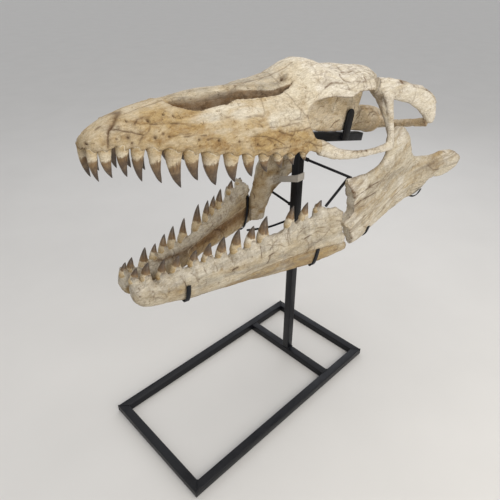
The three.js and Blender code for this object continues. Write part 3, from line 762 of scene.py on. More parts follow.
def carveSeams(relief, outward):
    # seams between the bones, and the line where the bar between the nostrils meets the cheeks
    p, side, plan = relief.p, relief.side, relief.plan
    x, y, z = p.T
    folded = np.stack([x, -np.abs(y)], 1)
    seams = [(side, "premaxilla", (x < skull["snoutEnd"]) & (z > 32), 0.72),
             (side, "cheek", outward & (x > 500), 0.5),
             (folded, "brow", (z > 60) & (x > 600), 0.16),
             (folded, "wing", (z > 120) & (x > 800) & (x < 980), 0.32),
             (plan, "midline", z > 120, 0.6), (folded, "temple", np.abs(y) > 120, 0.5)]
    for flat, name, where, strong in seams:
        away = np.full(len(p), 99.0)
        away[where] = lineDistance(flat[where], sutures[name])
        relief.sink(1.9 * strong * bump(away, 1.7), strong * bump(away, 1.9))
    top = (z > crest(x) - 30) & (x > 96) & (x < 640) & (relief.n[:, 2] > 0.2)
    away = np.full(len(p), 99.0)
    away[top] = np.abs(np.abs(y[top]) - skull["barHalf"] - 1.5 * noise(p[top], 12, 77))
    fade = 1 - ease(x, 205, 215) * (1 - ease(x, 400, 425))
    relief.sink(1.2 * bump(away, 1.6) * fade, 0.6 * bump(away, 1.8) * fade)


def swellSockets(relief, height, share):
    # the bone swells out and down round each upper tooth; returns how far down its points go
    x = relief.p[:, 0]
    margin = (x < skull["snoutEnd"]) & (height < 60)
    drop = -6.5 * margin * (1 - ease(height, -2, 20)) * ease(share, 0.5, 0.7)
    for station, _, radius, _ in upperTeeth["rows"]:
        near = bump(x - station, radius * 0.8) * margin
        relief.lift += 1.6 * near * ease(height, -4, 10) * (1 - ease(height, 10, 48)) * ease(share, 0.72, 0.9)
        drop += 9.5 * near * (1 - ease(height, -2, 20)) * ease(share, 0.5, 0.7)
    return drop


def skullShade(relief, height, share):
    # painted shade where little light reaches: deep in the nostrils, under the palate and the roof, and on
    # the inner faces of the bars
    x, y, z = relief.p.T
    n, across = relief.n, np.abs(y)
    inside = ((across > nostrilInner(x) - 3) & (across < nostrilSide(x) + 3) & (x > 198) & (x < 600)
              & (z > nostrilFloor(x) - 4))
    start = nostrilShade["from"](x)
    nostril = np.where(inside, ease(skinTop(x, y) - z, start, start + nostrilShade["over"](x)), 0)
    facingDown = n[:, 2] < -0.2
    palate = (x < skull["snoutEnd"]) & (share < 0.86) & (height < 26) & facingDown
    underRoof = (x > skull["snoutEnd"]) & facingDown & (across < 170) & (z > 90)
    innerBar = (x > 900) & (n[:, 1] * np.sign(y) < -0.2)
    return np.max([nostril, 0.75 * palate, 0.55 * underRoof, 0.45 * innerBar], axis=0)


def skullColours(relief, outward):
    # how stained, chalky and grey each point is
    p, (x, y, z) = relief.p, relief.p.T
    snout = x < skull["snoutEnd"]
    limit = stainLimit(x) + 12 * noise(p, 55, 51) + 6 * noise(p, 17, 52)
    most, least = 0.74 - 0.18 * ease(150 - x, 0, 110), stainLeast(x)
    stain = least + (most - least) * (1 - ease(z - limit, -24, 30))
    stain = np.where(snout, stain, 0.12 + 0.16 * noise(p, 60, 53))
    zone, ragged = {}, 0.35 * noise(p, (40, 16, 16), 57)
    for name, areas in cheekZones.items():
        zone[name] = np.zeros(len(p))
        for cx, cz, halfLong, halfHigh, strength in areas:
            away = np.hypot((x - cx) / halfLong, (z - cz - 0.12 * (x - cx)) / halfHigh) + ragged
            zone[name] = np.maximum(zone[name], strength * (1 - ease(away, 0.5, 1.3)) * outward)
    stain = stain + 0.12 * noise(p, 30, 54) + 0.5 * zone["brown"] - 0.5 * zone["light"]
    whiter = 0.95 * ease(x, 600, 700) + 0.08 * ease(z - limit, 10, 60) - 0.5 * snout
    chalk = ease(0.6 * noise(p, (60, 30, 30), 55) + 0.4 * noise(p, 15, 56) + whiter, 0.2, 0.8)
    grey = 0.7 * zone["light"] * ease(noise(p, (60, 18, 14), 58), -0.3, 0.5)
    onBar = ease(x, 200, 240) * (1 - ease(x, 540, 600)) * (np.abs(y) < nostrilInner(x) + 4) * (z > limit)
    grey = np.maximum(grey, onBar * ease(noise(p, (60, 18, 14), 59), -0.9, 0.3))
    return {"stain": stain, "chalk": np.maximum(chalk, 0.45 * zone["light"]), "grey": grey}


def skullRelief(item):
    relief = Relief(item, skull, 3)
    n, (x, y, z) = relief.n, relief.p.T
    height, share = z - gumHeight(x), np.abs(y) / gumWidth(x)
    outward = (np.abs(n[:, 1]) > 0.25) & (np.abs(y) > 12) & (n[:, 1] * y > 0)
    calm = (x < 380) & (height > 0)                # the front of the snout weathered less
    relief.lift *= np.where(calm, 0.62, 1.0)
    relief.dark *= np.where(calm, 0.7, 1.0)
    carveCheeks(relief, outward)
    carveRoof(relief, n[:, 2] > 0.45)
    carveSeams(relief, outward)
    drop = swellSockets(relief, height, share)
    relief.press(drop, recess=skullShade(relief, height, share), **skullColours(relief, outward))


skullRelief(shell)
print("cranium relief carved")


# the cranium parted into its bones

def partCranium():
    # takes the bones off the shell one by one, as each region leaves less of it
    reach, under, over, half = skull["reach"], skull["under"], skull["over"], skull["barHalf"]
    whole, marks = coordinates(shell), readMarks(shell)
    bones = {}
    front = np.vstack([sutures["premaxilla"], [(-40, over), (-40, under)]])
    snoutTip = prism(front, "side", -reach, reach, skull)
    barUnder = skull["barUnder"]
    bar = prism([(60, -half), (640, -half), (640, half), (60, half)], "plan", barUnder, over, skull)
    bones["premaxilla"] = splitOff(shell, "premaxilla", carve(snoutTip, bar, "UNION"))
    cheek = np.vstack([[(40, under), (648, under), (642, 0), (640, 34)], sutures["cheek"][14:], [(40, over)]])
    below = [(648, under), (642, 0), (640, 34), (646, 44), (1100, 40), (1100, under)]
    # the part of the snout's top that stays with the forehead
    nasal = np.array([(384, 17.9), (400, 34), (430, 50), (480, 59), (560, 65), (640, 62), (640, 17.9)])
    for side, low, high in (("left", -reach, 0), ("right", 0, reach)):
        overhang = prism(nasal * (1, -1 if low else 1), "plan", barUnder, over, skull)
        region = carve(prism(cheek, "side", low, high, skull), overhang, "DIFFERENCE")
        bones["maxilla_" + side] = splitOff(shell, "maxilla_" + side, region)
        bones["jugal_" + side] = splitOff(shell, "jugal_" + side, prism(below, "side", low, high, skull))
    regions = {
        "squamosal": np.vstack([sutures["temple"], [(1300, -260), (1300, -60)]]),
        "prefrontal": np.vstack([sutures["brow"], [(500, -260)]]),
        "postorbital": np.vstack([sutures["wing"], [(1200, -260)]]),
    }
    for bone, region in regions.items():
        for side, turn in (("left", 1), ("right", -1)):
            name = bone + "_" + side
            bones[name] = splitOff(shell, name, prism(region * (1, turn), "plan", under, over, skull))
    rear = np.vstack([sutures["midline"], [(380, 260), (380, -260)]])
    bones["frontal"] = splitOff(shell, "frontal", prism(rear, "plan", under, over, skull))
    shell.name = "parietal"
    bones["parietal"] = dropCrumbs(shell)
    restoreMarks(bones.values(), whole, marks)
    return bones


bones = partCranium()
print("cranium parted:", {name: len(bone.data.polygons) for name, bone in bones.items()})


# braincase: the wall under the roof, the box behind it and its two side bars

def buildBraincase():
    low, span = curve([757, 70], [768, 56], [796, 24], [860, 19], [1060, 14]), skull["wallSpan"]
    wall = []
    for x in np.linspace(757, 1056, 66):
        high = roofUnder(x, span) - 0.4
        side = smoothPath([(8, low(x), 0), (9, 60, 0), (10, 100, 0), (16, high - 26, 0),
                           (span * roofHalf(x) * 0.95, high, 0)], 24)[:, :2]
        wall.append([(x, -y, z) for y, z in side] + [(x, y, z) for y, z in side[::-1]])
    item = skin("braincase", wall, skull)
    # the box that closes the rear of the skull
    half = curve([1040, 12], [1075, 42], [1150, 50], [1195, 34], [1228, 22])
    top = curve([1040, 104], [1100, 106], [1160, 102], [1200, 96], [1228, 88])
    base = curve([1040, 14], [1120, 12], [1150, 6], [1185, 6], [1205, 30], [1228, 50])
    a = roundTurn(48)
    rings = [np.stack([np.full(48, x), half(x) * np.cos(a),
                       (top(x) + base(x)) / 2 + (top(x) - base(x)) / 2 * np.sin(a)], 1)
             for x in np.linspace(1036, 1228, 40)]
    box = skin("box", rings, skull)
    bar = skin("ear", strutRings(bars["ear"]), skull)
    merge(item, box, bar, mirrorOf(bar))
    remesh(item, fineness["braincase"], 3)
    relief = Relief(item, skull, 103)
    p, (x, y, z) = relief.p, relief.p.T
    facing = np.abs(relief.n[:, 1]) > 0.3
    for where, seed in ((y < 0, 107), (y > 0, 117)):
        lines = randomCracks(22, (800, 25, 1200, 180), seed, (1.0, 2.2), (0.8, 2.4), slope=0.9)
        relief.crack(where & facing, lines, seed)
    slab = bump(np.mod(z + 0.3 * x, 47) - 23, 6) * (x < 1050)
    relief.lift += 2.4 * noise(p, (50, 400, 34), 104) + 1.4 * slab
    # painted shade, darker towards the box at the rear, with some random darkening
    relief.press(recess=0.1 * noise(p, 40, 105) + 0.3 * ease(x, 1050, 1120),
                 stain=0.26 + 0.3 * noise(p, 30, 106), chalk=0.4 * ease(noise(p, 36, 108), -0.1, 0.5))
    return item


bones["braincase"] = buildBraincase()
print("braincase built")


# lower jaw

jawTop = curve([0, 728], [8, 738], [27, 744], [54, 735], [98, 729], [143, 737], [191, 741], [257, 738],
               [342, 745], [396, 752], [459, 759], [517, 777], [584, 788], [640, 806], [668, 805], [760, 800])
jawLow = curve([0, 690], [3, 679], [14, 665], [33, 654], [89, 641], [158, 630], [196, 626], [341, 625],
               [420, 616], [496, 609], [600, 603], [679, 607], [760, 622])
jawThick = curve([0, 14], [8, 22], [30, 27], [120, 27], [400, 25], [640, 22], [760, 18])
# how far the tooth margin of each bone is worn down
jawWear = {"left": curve([0, 0], [760, 0]),
           "right": curve([0, 0], [27, 14], [123, 12], [192, 20], [296, 28], [416, 14], [520, 6], [646, 0])}
rearTop = curve([-50, 874], [-20, 868], [38, 858], [95, 853], [170, 862], [196, 900], [215, 964], [235, 976],
                [264, 972], [290, 964], [307, 955], [330, 930], [350, 904], [372, 862], [407, 826],
                [446, 818], [482, 821], [520, 832], [562, 828], [588, 812], [603, 788])
rearLow = curve([-50, 640], [27, 600], [59, 600], [92, 604], [163, 621], [260, 635], [371, 650], [433, 663],
                [452, 686], [466, 712], [476, 722], [535, 724], [565, 733], [586, 752], [603, 772])
rearThick = curve([-50, 12], [0, 18], [100, 21], [250, 17], [380, 22], [430, 30], [470, 28], [530, 22],
                  [580, 22], [603, 12])
lowerTeeth = {
    # station, height of the tip above the unworn margin, radius
    "left": [(14, 36, 13), (46, 46, 14), (90, 49, 14), (132, 42, 15), (184, 38, 15), (228, 50, 16),
             (272, 58, 16), (320, 66, 17), (368, 56, 17), (412, 71, 18), (506, 60, 16), (558, 50, 14),
             (610, 30, 13)],
    "right": [(13, 21, 12), (38, 23, 12), (90, 39, 15), (131, 25, 12), (172, 31, 14), (212, 39, 15),
              (264, 44, 16), (336, 54, 17), (386, 41, 14), (420, 40, 13), (458, 45, 15), (524, 32, 14),
              (578, 14, 12)]}


# how square the section of a jaw is across and upwards, and how far its cuts reach
jawForm = {"across": 0.8, "up": 0.85, "reach": 90, "splenial": 11, "rearReach": 240}


def plateRing(x, y, low, top, half, sides=96):
    a = roundTurn(sides)
    high = (top - low) / 2
    return np.stack([np.full(sides, x), y + half * power(np.cos(a), jawForm["across"]),
                     low + high + high * power(np.sin(a), jawForm["up"])], 1)


def rearBend(x):
    past = np.maximum(0, x - leftRear["flareFrom"])
    return -math.tan(math.radians(leftRear["flare"])) * past * np.minimum(1, past / 90)


def brokenEnd(length):
    # outline of a front jaw half, with its broken rear edge
    end = [(length - 19, 560), (length + 1, 600), (length - 5, 640), (length - 19, 687), (length - 41, 732),
           (length - 33, 768), (length - 41, 790), (length - 63, 812), (length - 63, 900)]
    return np.vstack([[(-20, 900), (-20, 560)], wander(end, 7, 4.0, int(length))])


jawMarks = {
    "cracks": [([(394, 746), (393, 724), (391, 703)], 1.8, 1.6),
               ([(434, 748), (432, 726), (434, 706)], 1.8, 1.6),
               ([(134, 726), (145, 700), (148, 682)], 1.8, 1.5),
               ([(168, 730), (179, 710), (184, 690)], 1.8, 1.2),
               ([(206, 736), (210, 713)], 1.8, 1.2), ([(300, 742), (296, 722)], 1.7, 1.0),
               ([(493, 766), (486, 740), (490, 716)], 1.8, 1.3),
               ([(590, 770), (560, 762), (530, 748)], 1.8, 1.1)],
    "slots": [([(293, 693), (302, 696), (311, 698)], 2.4, 4.0),
              ([(418, 701), (427, 703), (437, 706)], 2.4, 3.6),
              ([(550, 722), (560, 724), (570, 727)], 2.3, 3.6)],
    "holes": [(16, 704, 2.2), (52, 708, 1.8), (96, 690, 1.8), (247, 665, 1.8), (186, 700, 2.0),
              (360, 716, 1.8)],
    "tan": [(84, 696, 46, 20), (270, 716, 46, 24), (620, 640, 70, 26)],
}
# lines along the front half of a jaw: the groove of the inner face and its width, the smooth bar over it,
# the channel of the outer face, and the seam over the lower bone with the levels its colour ends between
jawLines = {
    "groove": curve([60, 742], [88, 735], [160, 708], [225, 693], [306, 683], [405, 679], [473, 673],
                    [600, 662]),
    "grooveWide": curve([60, 4], [160, 9], [300, 15], [450, 19], [600, 21]),
    "beam": curve([240, 712], [346, 708], [444, 719], [549, 737], [640, 756]),
    "channel": curve([120, 655], [150, 666], [243, 681], [376, 679], [513, 690], [644, 696]),
    "seam": curve([250, 641], [328, 651], [433, 665], [560, 668], [640, 663], [700, 654]),
    "full": curve([250, 637], [328, 647], [433, 661], [560, 664], [700, 651]),
    "none": curve([250, 646], [328, 656], [433, 670], [560, 673], [700, 660])}


def jawRelief(item, spec, wear, teeth, seed, inward):
    relief = Relief(item, spec, seed)
    p, n, (x, _, z) = relief.p, relief.n, relief.p.T
    top, low, length = jawTop(x) - wear(x), jawLow(x), spec["length"]
    lines = {name: line(x) for name, line in jawLines.items()}
    outer, inner = n[:, 1] * inward < -0.3, n[:, 1] * inward > 0.3
    outerLines = (jawMarks["cracks"] + jawMarks["slots"]
                  + randomCracks(16, (20, 640, length - 30, 760), seed + 11, deep=(0.6, 1.4), slope=0.1))
    innerLines = randomCracks(22, (20, 640, length - 30, 750), seed + 12, deep=(0.6, 1.8), slope=0.12)
    relief.crack(outer, outerLines, seed + 13)
    relief.crack(inner, innerLines, seed + 13)
    relief.pierce(outer, jawMarks["holes"])
    # inner face: a long groove under a smooth bar, dark with painted shade
    middle = lines["groove"] + 3 * noise(p, 40, seed + 14)
    groove = bump(z - middle, lines["grooveWide"]) * inner * ease(x, 50, 120)
    beam = bump(z - lines["beam"], 9) * inner * ease(x, 200, 270)
    relief.lift += 3.4 * beam - 7.0 * groove
    # outer face: a shallow channel, and the seam over the lower bone
    channel = bump(z - lines["channel"] - 3 * noise(p, 34, seed + 18), 10) * outer * ease(x, 110, 190)
    seam = bump(z - lines["seam"] - 1.6 * noise(p, 15, seed + 15), 1.9) * outer * ease(x, 240, 300)
    relief.sink(2.2 * channel + 1.5 * seam - 1.8 * noise(p, (90, 30, 40), seed + 16) * outer, 0.5 * seam)
    # scalloped margin between the teeth
    nearTooth = np.zeros(len(p))
    for station, _, radius in teeth:
        nearTooth = np.maximum(nearTooth, bump(x - station - 2, radius * 1.05))
    margin = ease(z, top - 34, top - 3)
    drop = 14 * (1 - nearTooth) * margin * ease(noise(p, (26, 400, 400), seed + 19), -0.9, 0.4)
    pocket = pits(p * (1, 0.5, 0.4), 15, 4.6, 0.75, seed + 17) * margin * (1 - nearTooth)
    # ribs and little grooves under the teeth, long flutes below them
    rib = ease(z, top - 64, top - 18) * (outer | inner)
    groovelet = ease(noise(p, (4.5, 30, 70), seed + 27), 0.15, 0.65) * rib * (1 - ease(z, top - 16, top - 6))
    flute = noise(p, (150, 400, 8), seed + 28) * outer * (1 - rib)
    relief.sink(0.7 * groovelet, 0.34 * groovelet)
    relief.sink(-0.9 * flute, 0.3 * ease(-flute, 0.25, 0.7))
    relief.lift += 2.2 * rib * (nearTooth - 0.5) + 0.9 * rib * noise(p, (7, 30, 60), seed + 26) - 3.4 * pocket
    # colours: whiter round the teeth, tan in places and on the lower bone
    share = (z - low) / (top - low)
    collar = ease(z, top - 44 + 16 * noise(p, (9, 16, 40), seed + 20), top - 16)
    patchy = ease(noise(p, 50, seed + 21) + 0.5 * noise(p, 16, seed + 22), 0.3, 0.8)
    chalk = np.maximum(collar * (0.7 + 0.3 * nearTooth), patchy)
    tan = np.zeros(len(p))
    for cx, cz, halfLong, halfHigh in jawMarks["tan"]:
        tan = np.maximum(tan, bump(np.hypot((x - cx) / halfLong, (z - cz) / halfHigh), 1))
    below = (1 - ease(z, lines["full"], lines["none"])) * ease(x, 220, 330)
    stain = np.clip(0.26 + 0.26 * noise(p, 70, seed + 23) + 0.2 * noise(p, 24, seed + 24)
                    + (0.6 * tan + 0.5 * below) * outer + 0.5 * inner * (1 - ease(share, 0.55, 0.8)), 0, 1)
    grey = 0.3 + channel * 0.9 + 0.5 * outer * ease(noise(p, (80, 40, 24), seed + 25), 0.1, 0.5)
    # painted shade in the pockets of the margin, in the groove and low on the inner face
    relief.press(drop, crevice=0.55 * pocket, recess=groove + 0.2 * inner * (1 - ease(share, 0.5, 0.8)),
                 stain=stain * (1 - 0.75 * collar), chalk=chalk * (1 - 0.6 * groove), grey=grey)


def buildFrontJaw(spec, label, seed):
    inward = -math.copysign(1, spec["yaw"])
    wear, teeth = jawWear[label], lowerTeeth[label]
    stations = np.r_[0, 1, 2.5, 5, 8, 12:746:5]
    rings = [plateRing(x, 0, jawLow(x), jawTop(x) - wear(x), jawThick(x)) for x in stations]
    body = skin("dentary_" + label, rings, spec)
    reach = jawForm["reach"]
    carve(body, prism(brokenEnd(spec["length"]), "side", -reach, reach, spec), "INTERSECT")
    collars = []
    for x, _, radius in teeth:
        z = jawTop(x) - wear(x)
        rows = [(x - 1, 3, z - 30, radius * 1.0, radius * 1.1), (x, 3, z - 12, radius * 1.22, radius * 1.26),
                (x + 1.5, 3, z, radius * 1.12, radius * 1.14),
                (x + 3, 3, z + 9, radius * 0.95, radius * 0.98),
                (x + 4, 3, z + 14, radius * 0.82, radius * 0.84)]
        collars.append(skin("collar", strutRings(rows, (1, 0, 0), 24, 14), spec))
    merge(body, *collars)
    remesh(body, fineness["jaw"], 3)
    jawRelief(body, spec, wear, teeth, seed, inward)
    edge = wander([(800, 700), (560, 694), (330, 690), (250, 680), (250, 560)], 8, 2.0, seed + 30)
    outline = np.vstack([edge, [(800, 560)]])
    low, high = sorted((inward * jawForm["splenial"], inward * reach))
    inner = splitOff(body, "splenial_" + label, prism(outline, "side", low, high, spec))
    return dropCrumbs(body), inner


rearMarks = {
    # broken lines of the outer face, and where one bone meets the next
    "cracks": [([(-10, 800), (46, 805), (130, 808), (217, 820)], 2.2, 2.0),
               ([(-6, 760), (32, 770), (100, 771), (152, 772)], 2.6, 2.8),
               ([(200, 706), (260, 722), (330, 740)], 1.9, 1.2),
               ([(60, 640), (140, 664), (230, 680)], 1.9, 1.0),
               ([(276, 770), (330, 790), (372, 812)], 1.9, 1.2),
               ([(447, 790), (470, 770), (500, 764)], 2.0, 1.6)],
    "coronoid": wander([(150, 1000), (150, 846), (230, 862), (300, 884), (352, 1000)], 8, 3.0, 63),
    "articular": wander([(396, 560), (404, 720), (392, 1000)], 8, 3.0, 64),
    "angular": wander([(-60, 672), (60, 668), (240, 690), (420, 704)], 8, 3.0, 65),
    "ridge": curve([-20, 628], [133, 664], [251, 684], [353, 711], [415, 746], [600, 800]),
    "upper": curve([-50, 800], [120, 800], [230, 850], [330, 800], [420, 760], [600, 790])}
rearRise = [[0.96, 0, -0.28], [0, 1, 0], [0.28, 0, 0.96]]      # the fibres rise towards the rear


def rearRelief(item):
    relief = Relief(item, leftRear, 62, (46, 8, 7), rearRise)
    p, along, n, (x, _, z) = relief.p, relief.along, relief.n, relief.p.T

    def spot(cx, cz, halfLong, halfHigh):
        return bump(np.hypot((x - cx) / halfLong, (z - cz) / halfHigh), 1)

    outer, inner = n[:, 1] < -0.2, n[:, 1] > 0.3
    for face, seed, lines in ((n[:, 1] < -0.3, 66, rearMarks["cracks"]), (inner, 76, [])):
        cracks = randomCracks(18, (-20, 640, 560, 880), seed, deep=(0.5, 1.5), slope=0.28)
        relief.crack(face, lines + cracks, seed)
        for bone in ("coronoid", "articular", "angular"):
            away = np.where(face, lineDistance(relief.side, rearMarks[bone]), 99)
            relief.sink(1.2 * bump(away, 1.9), 0.45 * bump(away, 2.0))
    hollow, knob, diamond = (spot(*where) * outer for where in ((86, 808, 15, 9), (20, 846, 62, 30),
                                                                (258, 952, 16, 22)))
    oval = bump(np.hypot((x - 205 + 0.1 * (z - 744)) / 60, (z - 744 - 0.1 * (x - 205)) / 12), 1) * outer
    rough, rearEnd, pale = spot(475, 785, 36, 32), spot(566, 800, 30, 34), spot(270, 800, 120, 28)
    ridge, upper = rearMarks["ridge"](x), rearMarks["upper"](x)
    dip = bump(z - upper + 46, 22)
    flute = noise(along, (140, 400, 8), 75) * (np.abs(n[:, 1]) > 0.3)
    relief.sink(-1.1 * flute, 0.42 * ease(-flute, 0.15, 0.6))
    relief.lift += 2.6 * noise(along, (110, 400, 40), 67) + 1.5 * noise(along, (40, 400, 18), 68)
    relief.lift += 3.5 * knob + 1.8 * oval - 5.0 * hollow - 4.0 * diamond + 1.8 * rough * noise(p, 9, 74)
    relief.lift += 2.6 * bump(z - ridge, 9) * (x < 430) + 2.4 * bump(z - upper, 16) - 2.4 * dip * (x < 400)
    relief.lift += 5.0 * rearEnd - 3.0 * bump(x - 505, 20)      # a waist behind the joint, a knob at the rear
    stain = (0.16 + 0.3 * noise(along, (90, 40, 20), 69) + 0.3 * noise(along, (60, 20, 7), 70)
             + 0.55 * oval + 0.9 * diamond + 0.35 * rough + 0.3 * inner)
    # painted shade on the inner face, in the hollows and the dip at the front, darkest in the hollow; the
    # rough patch is darkened too
    recess = 0.3 * inner + 0.4 * diamond + 0.3 * dip * (x < 130) + 0.35 * rough + 0.6 * hollow
    patchy = ease(noise(p, 55, 71) + 0.5 * noise(p, 18, 72), 0.0, 0.6)
    grey = 0.7 * pale + 0.4 * ease(noise(along, (80, 40, 16), 73), 0.1, 0.5)
    relief.press(crevice=0.5 * hollow, recess=recess, stain=stain, chalk=0.8 * knob + 0.7 * rearEnd + patchy,
                 grey=np.clip(grey, 0, 1) * outer)


def buildRear():
    rings = [plateRing(x, rearBend(x), rearLow(x), rearTop(x), rearThick(x)) for x in np.r_[-50:604:5, 603]]
    item = skin("surangular_left", rings, leftRear)
    edge = wander([(-45, 852), (-20, 825), (-8, 795), (-4, 765), (2, 741), (-26, 727), (-50, 715), (-30, 694),
                   (-13, 676), (14, 633), (22, 590), (40, 560)], 7, 3.5, 61)
    front = np.vstack([[(-30, 1000), (-47, 876)], edge, [(700, 560), (700, 1000)]])
    reach = jawForm["rearReach"]
    carve(item, prism(front, "side", -reach, reach, leftRear), "INTERSECT")
    remesh(item, fineness["jaw"], 3)
    rearRelief(item)
    # the seam closes the outline of the coronoid by itself; the others go round outside the bone
    corners = {"coronoid": [], "articular": [[(700, 1000), (700, 560)]],
               "angular": [[(420, 560), (-60, 560)]]}
    parts = {}
    for bone, rest in corners.items():
        region = np.vstack([rearMarks[bone], *rest])
        name = bone + "_left"
        parts[name] = splitOff(item, name, prism(region, "side", -reach, reach, leftRear))
    return {"surangular_left": dropCrumbs(item), **parts}


def buildFragment():
    low = curve([24, 636], [78, 634], [104, 712], [139, 747], [206, 795], [250, 838])
    top = curve([24, 740], [41, 800], [60, 862], [86, 900], [172, 918], [243, 872], [250, 856])
    half = curve([24, 9], [60, 17], [206, 17], [250, 9])
    rings = [plateRing(x, 0, low(x), top(x), half(x)) for x in np.r_[24:250:4, 250]]
    item = skin("surangular_right", rings, rightRear)
    remesh(item, fineness["jaw"], 2)
    relief = Relief(item, rightRear, 82, (9, 9, 30))
    p, n = relief.p, relief.n
    for face, seed in ((n[:, 1] < -0.3, 83), (n[:, 1] > 0.3, 93)):
        cracks = randomCracks(24, (30, 650, 240, 900), seed, (0.9, 2.0), (0.8, 2.4), slope=1.0)
        relief.crack(face, cracks, seed)
    relief.lift += 3.0 * noise(p, (40, 400, 40), 84) + 2.5 * noise(p, (18, 400, 18), 85)
    relief.lift += 6 * noise(p, (13, 400, 13), 88) * (1 - np.abs(n[:, 1])) ** 2      # ragged edges
    # painted shade on the face turned towards the middle
    relief.press(recess=0.25 * (n[:, 1] < -0.3), stain=0.42 + 0.7 * noise(p, 30, 86),
                 chalk=ease(noise(p, 36, 87), 0.0, 0.5))
    return item


bones["dentary_left"], bones["splenial_left"] = buildFrontJaw(leftJaw, "left", 201)
bones["dentary_right"], bones["splenial_right"] = buildFrontJaw(rightJaw, "right", 301)
bones.update(buildRear())
bones["surangular_right"] = buildFragment()
print("lower jaw built")


# teeth

toothForm = {"root": 7, "sides": 30, "rows": 40, "upperEdge": 0.33, "lowerEdge": 0.36,
             "upperBow": 0.16, "lowerBow": 0.12, "flat": 0.86}
toothSeeds = {"upper": 500, "left": 600, "right": 700}


def toothMesh(base, tip, radius, bow, edge, seed, spec):
    # a root that swells out of the bone and an enamel crown that narrows and curves to its tip
    chance = np.random.default_rng(seed)
    start, end = np.array(base, float), np.array(tip, float)
    root, sides = toothForm["root"], toothForm["sides"]
    axis = end - start
    size = np.linalg.norm(axis)
    down = axis / size
    forward = np.array([-1, 0, 0]) + down * down[0]
    forward /= np.linalg.norm(forward)
    t = np.linspace(0, 1, toothForm["rows"])[:, None]
    middle = start + axis / 2 + forward * bow * size
    path = (1 - t) ** 2 * (start - down * root) + 2 * t * (1 - t) * middle + t ** 2 * end
    gone = np.r_[0, np.cumsum(np.linalg.norm(np.diff(path, axis=0), axis=1))]
    along = (gone - root) / (gone[-1] - root)
    full = 0.05 * chance.uniform(-1, 1)
    swell = curve([-0.35, 0.7], [-0.1, 0.98], [0.02, 1.08], [0.15, 0.98 + full], [0.33, 0.84 + full],
                  [0.5, 0.69 + full], [0.7, 0.48 + full], [0.85, 0.29], [0.95, 0.13], [1.0, 0.03])(along)
    turn = roundTurn(sides)
    side, fore = frameAlong(path, (1, 0, 0))
    onCrown = ease(along[:, None] - edge, 0, 0.03)
    onRoot = 1 - onCrown
    keel = 1 + 0.05 * onCrown * np.abs(np.cos(turn)) ** 10
    phase = chance.uniform(0, 6, 4)
    ribs = 1 + 0.012 * np.sin(9 * turn + phase[0]) * onCrown + 0.02 * np.sin(2 * turn + phase[1]) * onRoot
    ribs = ribs + 0.018 * np.sin(along[:, None] * 21 + phase[2] + np.sin(turn + phase[3])) * onRoot
    across = radius * swell[:, None] * keel * ribs
    rings = ringsAt(path, fore, across * np.cos(turn), side, toothForm["flat"] * across * np.sin(turn))
    item = skin("tooth", rings, spec)
    wave = 0.028 * np.cos(2 * turn + 0.3) + 0.012 * np.sin(3 * turn + phase[0]) + chance.uniform(-0.05, 0.05)
    level = along[:, None] - (edge + wave)
    shade = chance.uniform(0, 1)
    fade = np.r_[np.repeat(ease(along, 0.0, edge), sides), 0, 1]
    setMark(item, "crown", np.r_[level.ravel(), -1, 1 - edge])
    setMark(item, "shade", np.full(len(fade), shade))
    setMark(item, "stain", 0.76 - (0.1 + 0.36 * chance.uniform(0, 1)) * fade)
    setMark(item, "chalk", chance.uniform(0.0, 0.5) * fade * (shade < 0.7))
    item.data.polygons.foreach_set("material_index", np.ones(len(item.data.polygons), np.int32))
    return item


def growTeeth(bone, teeth):
    for tooth in teeth:
        carve(bone, tooth, "UNION")


def upperRow():
    row = []
    for k, (x, reach, radius, lean) in enumerate(upperTeeth["rows"]):
        y = rootSide(x, radius)
        base, tip = (x, y, gumHeight(x)), (x + lean, y + 2, reach)
        bow, edge = toothForm["upperBow"], toothForm["upperEdge"]
        row.append(toothMesh(base, tip, radius, bow, edge, toothSeeds["upper"] + k, skull))
    return row


def lowerRow(label, spec, seed):
    row = []
    for k, (x, reach, radius) in enumerate(lowerTeeth[label]):
        base, tip = (x, 3, jawTop(x) - jawWear[label](x) - 3), (x + 12, 2, jawTop(x) + reach)
        bow, edge = toothForm["lowerBow"], toothForm["lowerEdge"]
        row.append(toothMesh(base, tip, radius * 1.06, bow, edge, seed + k, spec))
    return row


for side in ("left", "right"):
    row = [tooth if side == "left" else flip(tooth) for tooth in upperRow()]
    growTeeth(bones["premaxilla"], row[:upperTeeth["inPremaxilla"]])
    growTeeth(bones["maxilla_" + side], row[upperTeeth["inPremaxilla"]:])
for label, spec in (("left", leftJaw), ("right", rightJaw)):
    growTeeth(bones["dentary_" + label], lowerRow(label, spec, toothSeeds[label]))
print("teeth grown")


# stand

stand = {"edge": 2.2, "bead": 2.6, "rod": 4.7, "pitch": 2.4, "thread": 0.55, "nut": 7.4, "nutThick": 6,
         "stripWide": 13, "stripThick": 3.2, "bevel": 0.6, "arm": 3.9, "tube": 30, "railTilt": 12.4,
         "railHeight": 962, "sameCorner": 0.02, "clipLean": 0.1, "clipEnd": -105, "nutBevel": 0.8,
         "weldDrop": 3.6, "weldStep": 0.9}
inPlace = {"tip": (0, 0, 0)}          # for pieces given in the object's own millimetres


def steelCopy(node, name, edge):
    # a tube or plate of the frame with its long edges rounded over
    item = copyOf(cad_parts[node], name)
    item.parent = None
    editAll(item, lambda: bpy.ops.mesh.remove_doubles(threshold=stand["sameCorner"] * mm),
            lambda: bpy.ops.mesh.dissolve_limited(angle_limit=math.radians(1)))
    finishModifier(item, "BEVEL", width=edge * mm, segments=3, limit_method="ANGLE",
                   angle_limit=math.radians(35))
    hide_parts(node)
    return item


def tubeAlong(name, path, radius, sides, up):
    # a round bar; radius is one number or one for each point and side
    path = np.array(path, float)
    side, rise = frameAlong(path, up)
    a = roundTurn(sides)
    radius = np.broadcast_to(radius, (len(path), sides))
    return skin(name, ringsAt(path, rise, radius * np.sin(a), side, radius * np.cos(a)), inPlace)


